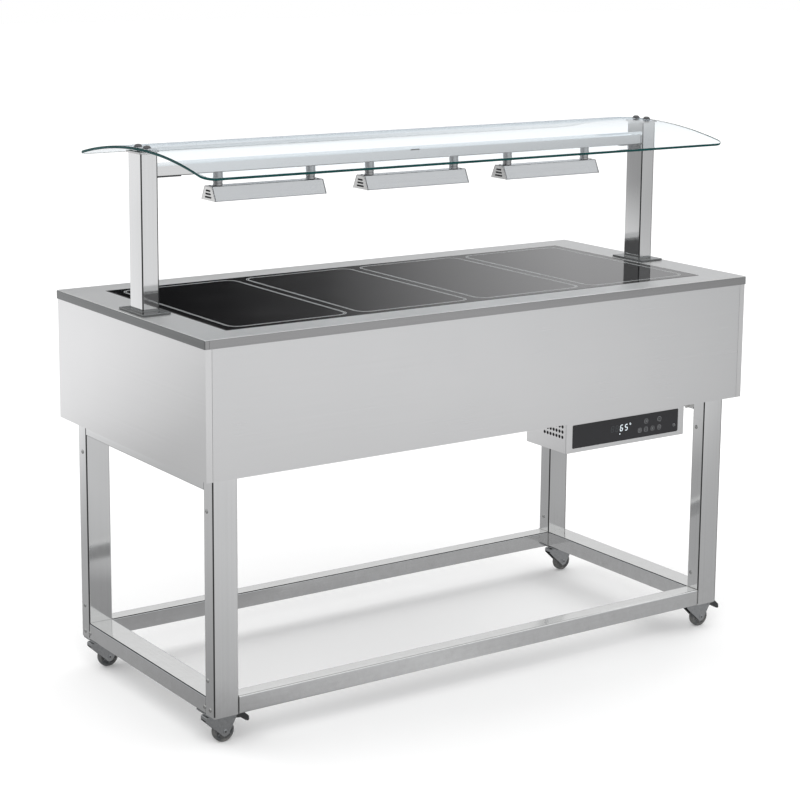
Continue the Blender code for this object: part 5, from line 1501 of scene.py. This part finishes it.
def buildStudio():
    half = studio["floorSize"] / 2
    mesh = bpy.data.meshes.new("studioFloor")
    mesh.from_pydata([(-half, -half, 0), (half, -half, 0), (half, half, 0), (-half, half, 0)],
                     [], [(0, 1, 2, 3)])
    floor = bpy.data.objects.new("studioFloor", mesh)
    bpy.context.scene.collection.objects.link(floor)
    material, builder, shader, place = startMaterial("studioFloor", (0.9, 0.9, 0.9))
    tone = studio["floorTone"]
    soft = builder.noise(place, 1.2, 3.0)
    builder.link(mixColour(builder, soft, [tone] * 3, [tone + 0.01] * 3),
                 shader.inputs["Base Color"])
    shader.inputs["Roughness"].default_value = 0.9
    shader.inputs["Specular IOR Level"].default_value = 0.1
    # far off the floor runs into the white surroundings
    reach = builder.node("ShaderNodeVectorMath", operation="LENGTH")
    builder.link(place, reach.inputs[0])
    fade = builder.spread(reach.outputs["Value"], *studio["glowReach"], *studio["glow"])
    shader.inputs["Emission Color"].default_value = (1, 1, 1, 1)
    builder.link(fade, shader.inputs["Emission Strength"])
    # polished steel sees a duller floor, as it does over a studio sweep
    far = aroundRamp(builder, place, studio["farStops"])[0]
    near = aroundRamp(builder, place, studio["nearStops"])[0]
    away = builder.spread(reach.outputs["Value"], studio["nearEdge"], studio["farEdge"], 0.0, 1.0)
    dull = builder.node("ShaderNodeEmission")
    beyond = aroundRamp(builder, place, studio["outerStops"])[0]
    outside = builder.spread(reach.outputs["Value"], studio["outerStart"], studio["outerEdge"],
                             0.0, 1.0)
    builder.link(mixColour(builder, outside, mixColour(builder, away, near, far), beyond),
                 dull.inputs["Color"])
    pick = builder.node("ShaderNodeMixShader")
    builder.link(mirrorRays(builder), pick.inputs[0])
    builder.link(shader.outputs[0], pick.inputs[1])
    builder.link(dull.outputs[0], pick.inputs[2])
    builder.link(pick.outputs[0], material.node_tree.nodes["Material Output"].inputs["Surface"])
    mesh.materials.append(material)

    world = bpy.data.worlds.new("studio")
    bpy.context.scene.world = world
    world.use_nodes = True
    builder = GroupBuilder(world.node_tree)
    sky = world.node_tree.nodes["Background"]
    direction = builder.node("ShaderNodeTexCoord").outputs["Generated"]
    side, rise = aroundRamp(builder, direction, studio["skyStops"])
    low = builder.spread(rise, *studio["bandLow"], 0.0, 1.0)
    high = builder.spread(rise, *studio["bandHigh"], 1.0, 0.0)
    overhead = builder.spread(rise, *studio["zenithRise"], studio["skyTone"],
                              studio["zenithTone"])
    above = mixColour(builder, low, studio["lowTone"], overhead)
    dome = mixColour(builder, builder.math("MULTIPLY", low, high), above, side)
    seen = mixColour(builder, mirrorRays(builder), (1.0, 1.0, 1.0), dome)
    builder.link(seen, sky.inputs["Color"])
    sky.inputs["Strength"].default_value = studio["worldStrength"]

    for name, at, size, power in studio["lights"]:
        data = bpy.data.lights.new(name, "AREA")
        data.shape = "DISK"
        data.size = size
        data.energy = studio["keyStrength"] * power
        lightObject = bpy.data.objects.new(name, data)
        bpy.context.scene.collection.objects.link(lightObject)
        lightObject.location = at
        back = Vector(at) - Vector((0, 0, studio["aimHeight"]))
        lightObject.rotation_euler = back.to_track_quat("Z", "Y").to_euler()
        lightObject.visible_glossy = False
    bpy.context.scene.view_settings.view_transform = "Standard"


view = dict(lens=92.41, azimuth=-34.507, elevation=10.362, roll=0.493, shift=-0.12,
            position=(-2.7336, -3.9319, 1.7242))


def buildCamera():
    data = bpy.data.cameras.new("camera")
    data.lens = view["lens"]
    data.sensor_width = 36.0
    data.shift_y = view["shift"]
    data.clip_start = 0.1
    data.clip_end = 60.0
    camera = bpy.data.objects.new("camera", data)
    bpy.context.scene.collection.objects.link(camera)
    camera.matrix_world = (
        Matrix.Translation(view["position"])
        @ Matrix.Rotation(math.radians(view["azimuth"]), 4, "Z")
        @ Matrix.Rotation(math.radians(90 - view["elevation"]), 4, "X")
        @ Matrix.Rotation(math.radians(view["roll"]), 4, "Z")
    )
    bpy.context.scene.camera = camera


buildStudio()
buildCamera()
bpy.context.view_layer.update()
print("scene ready")
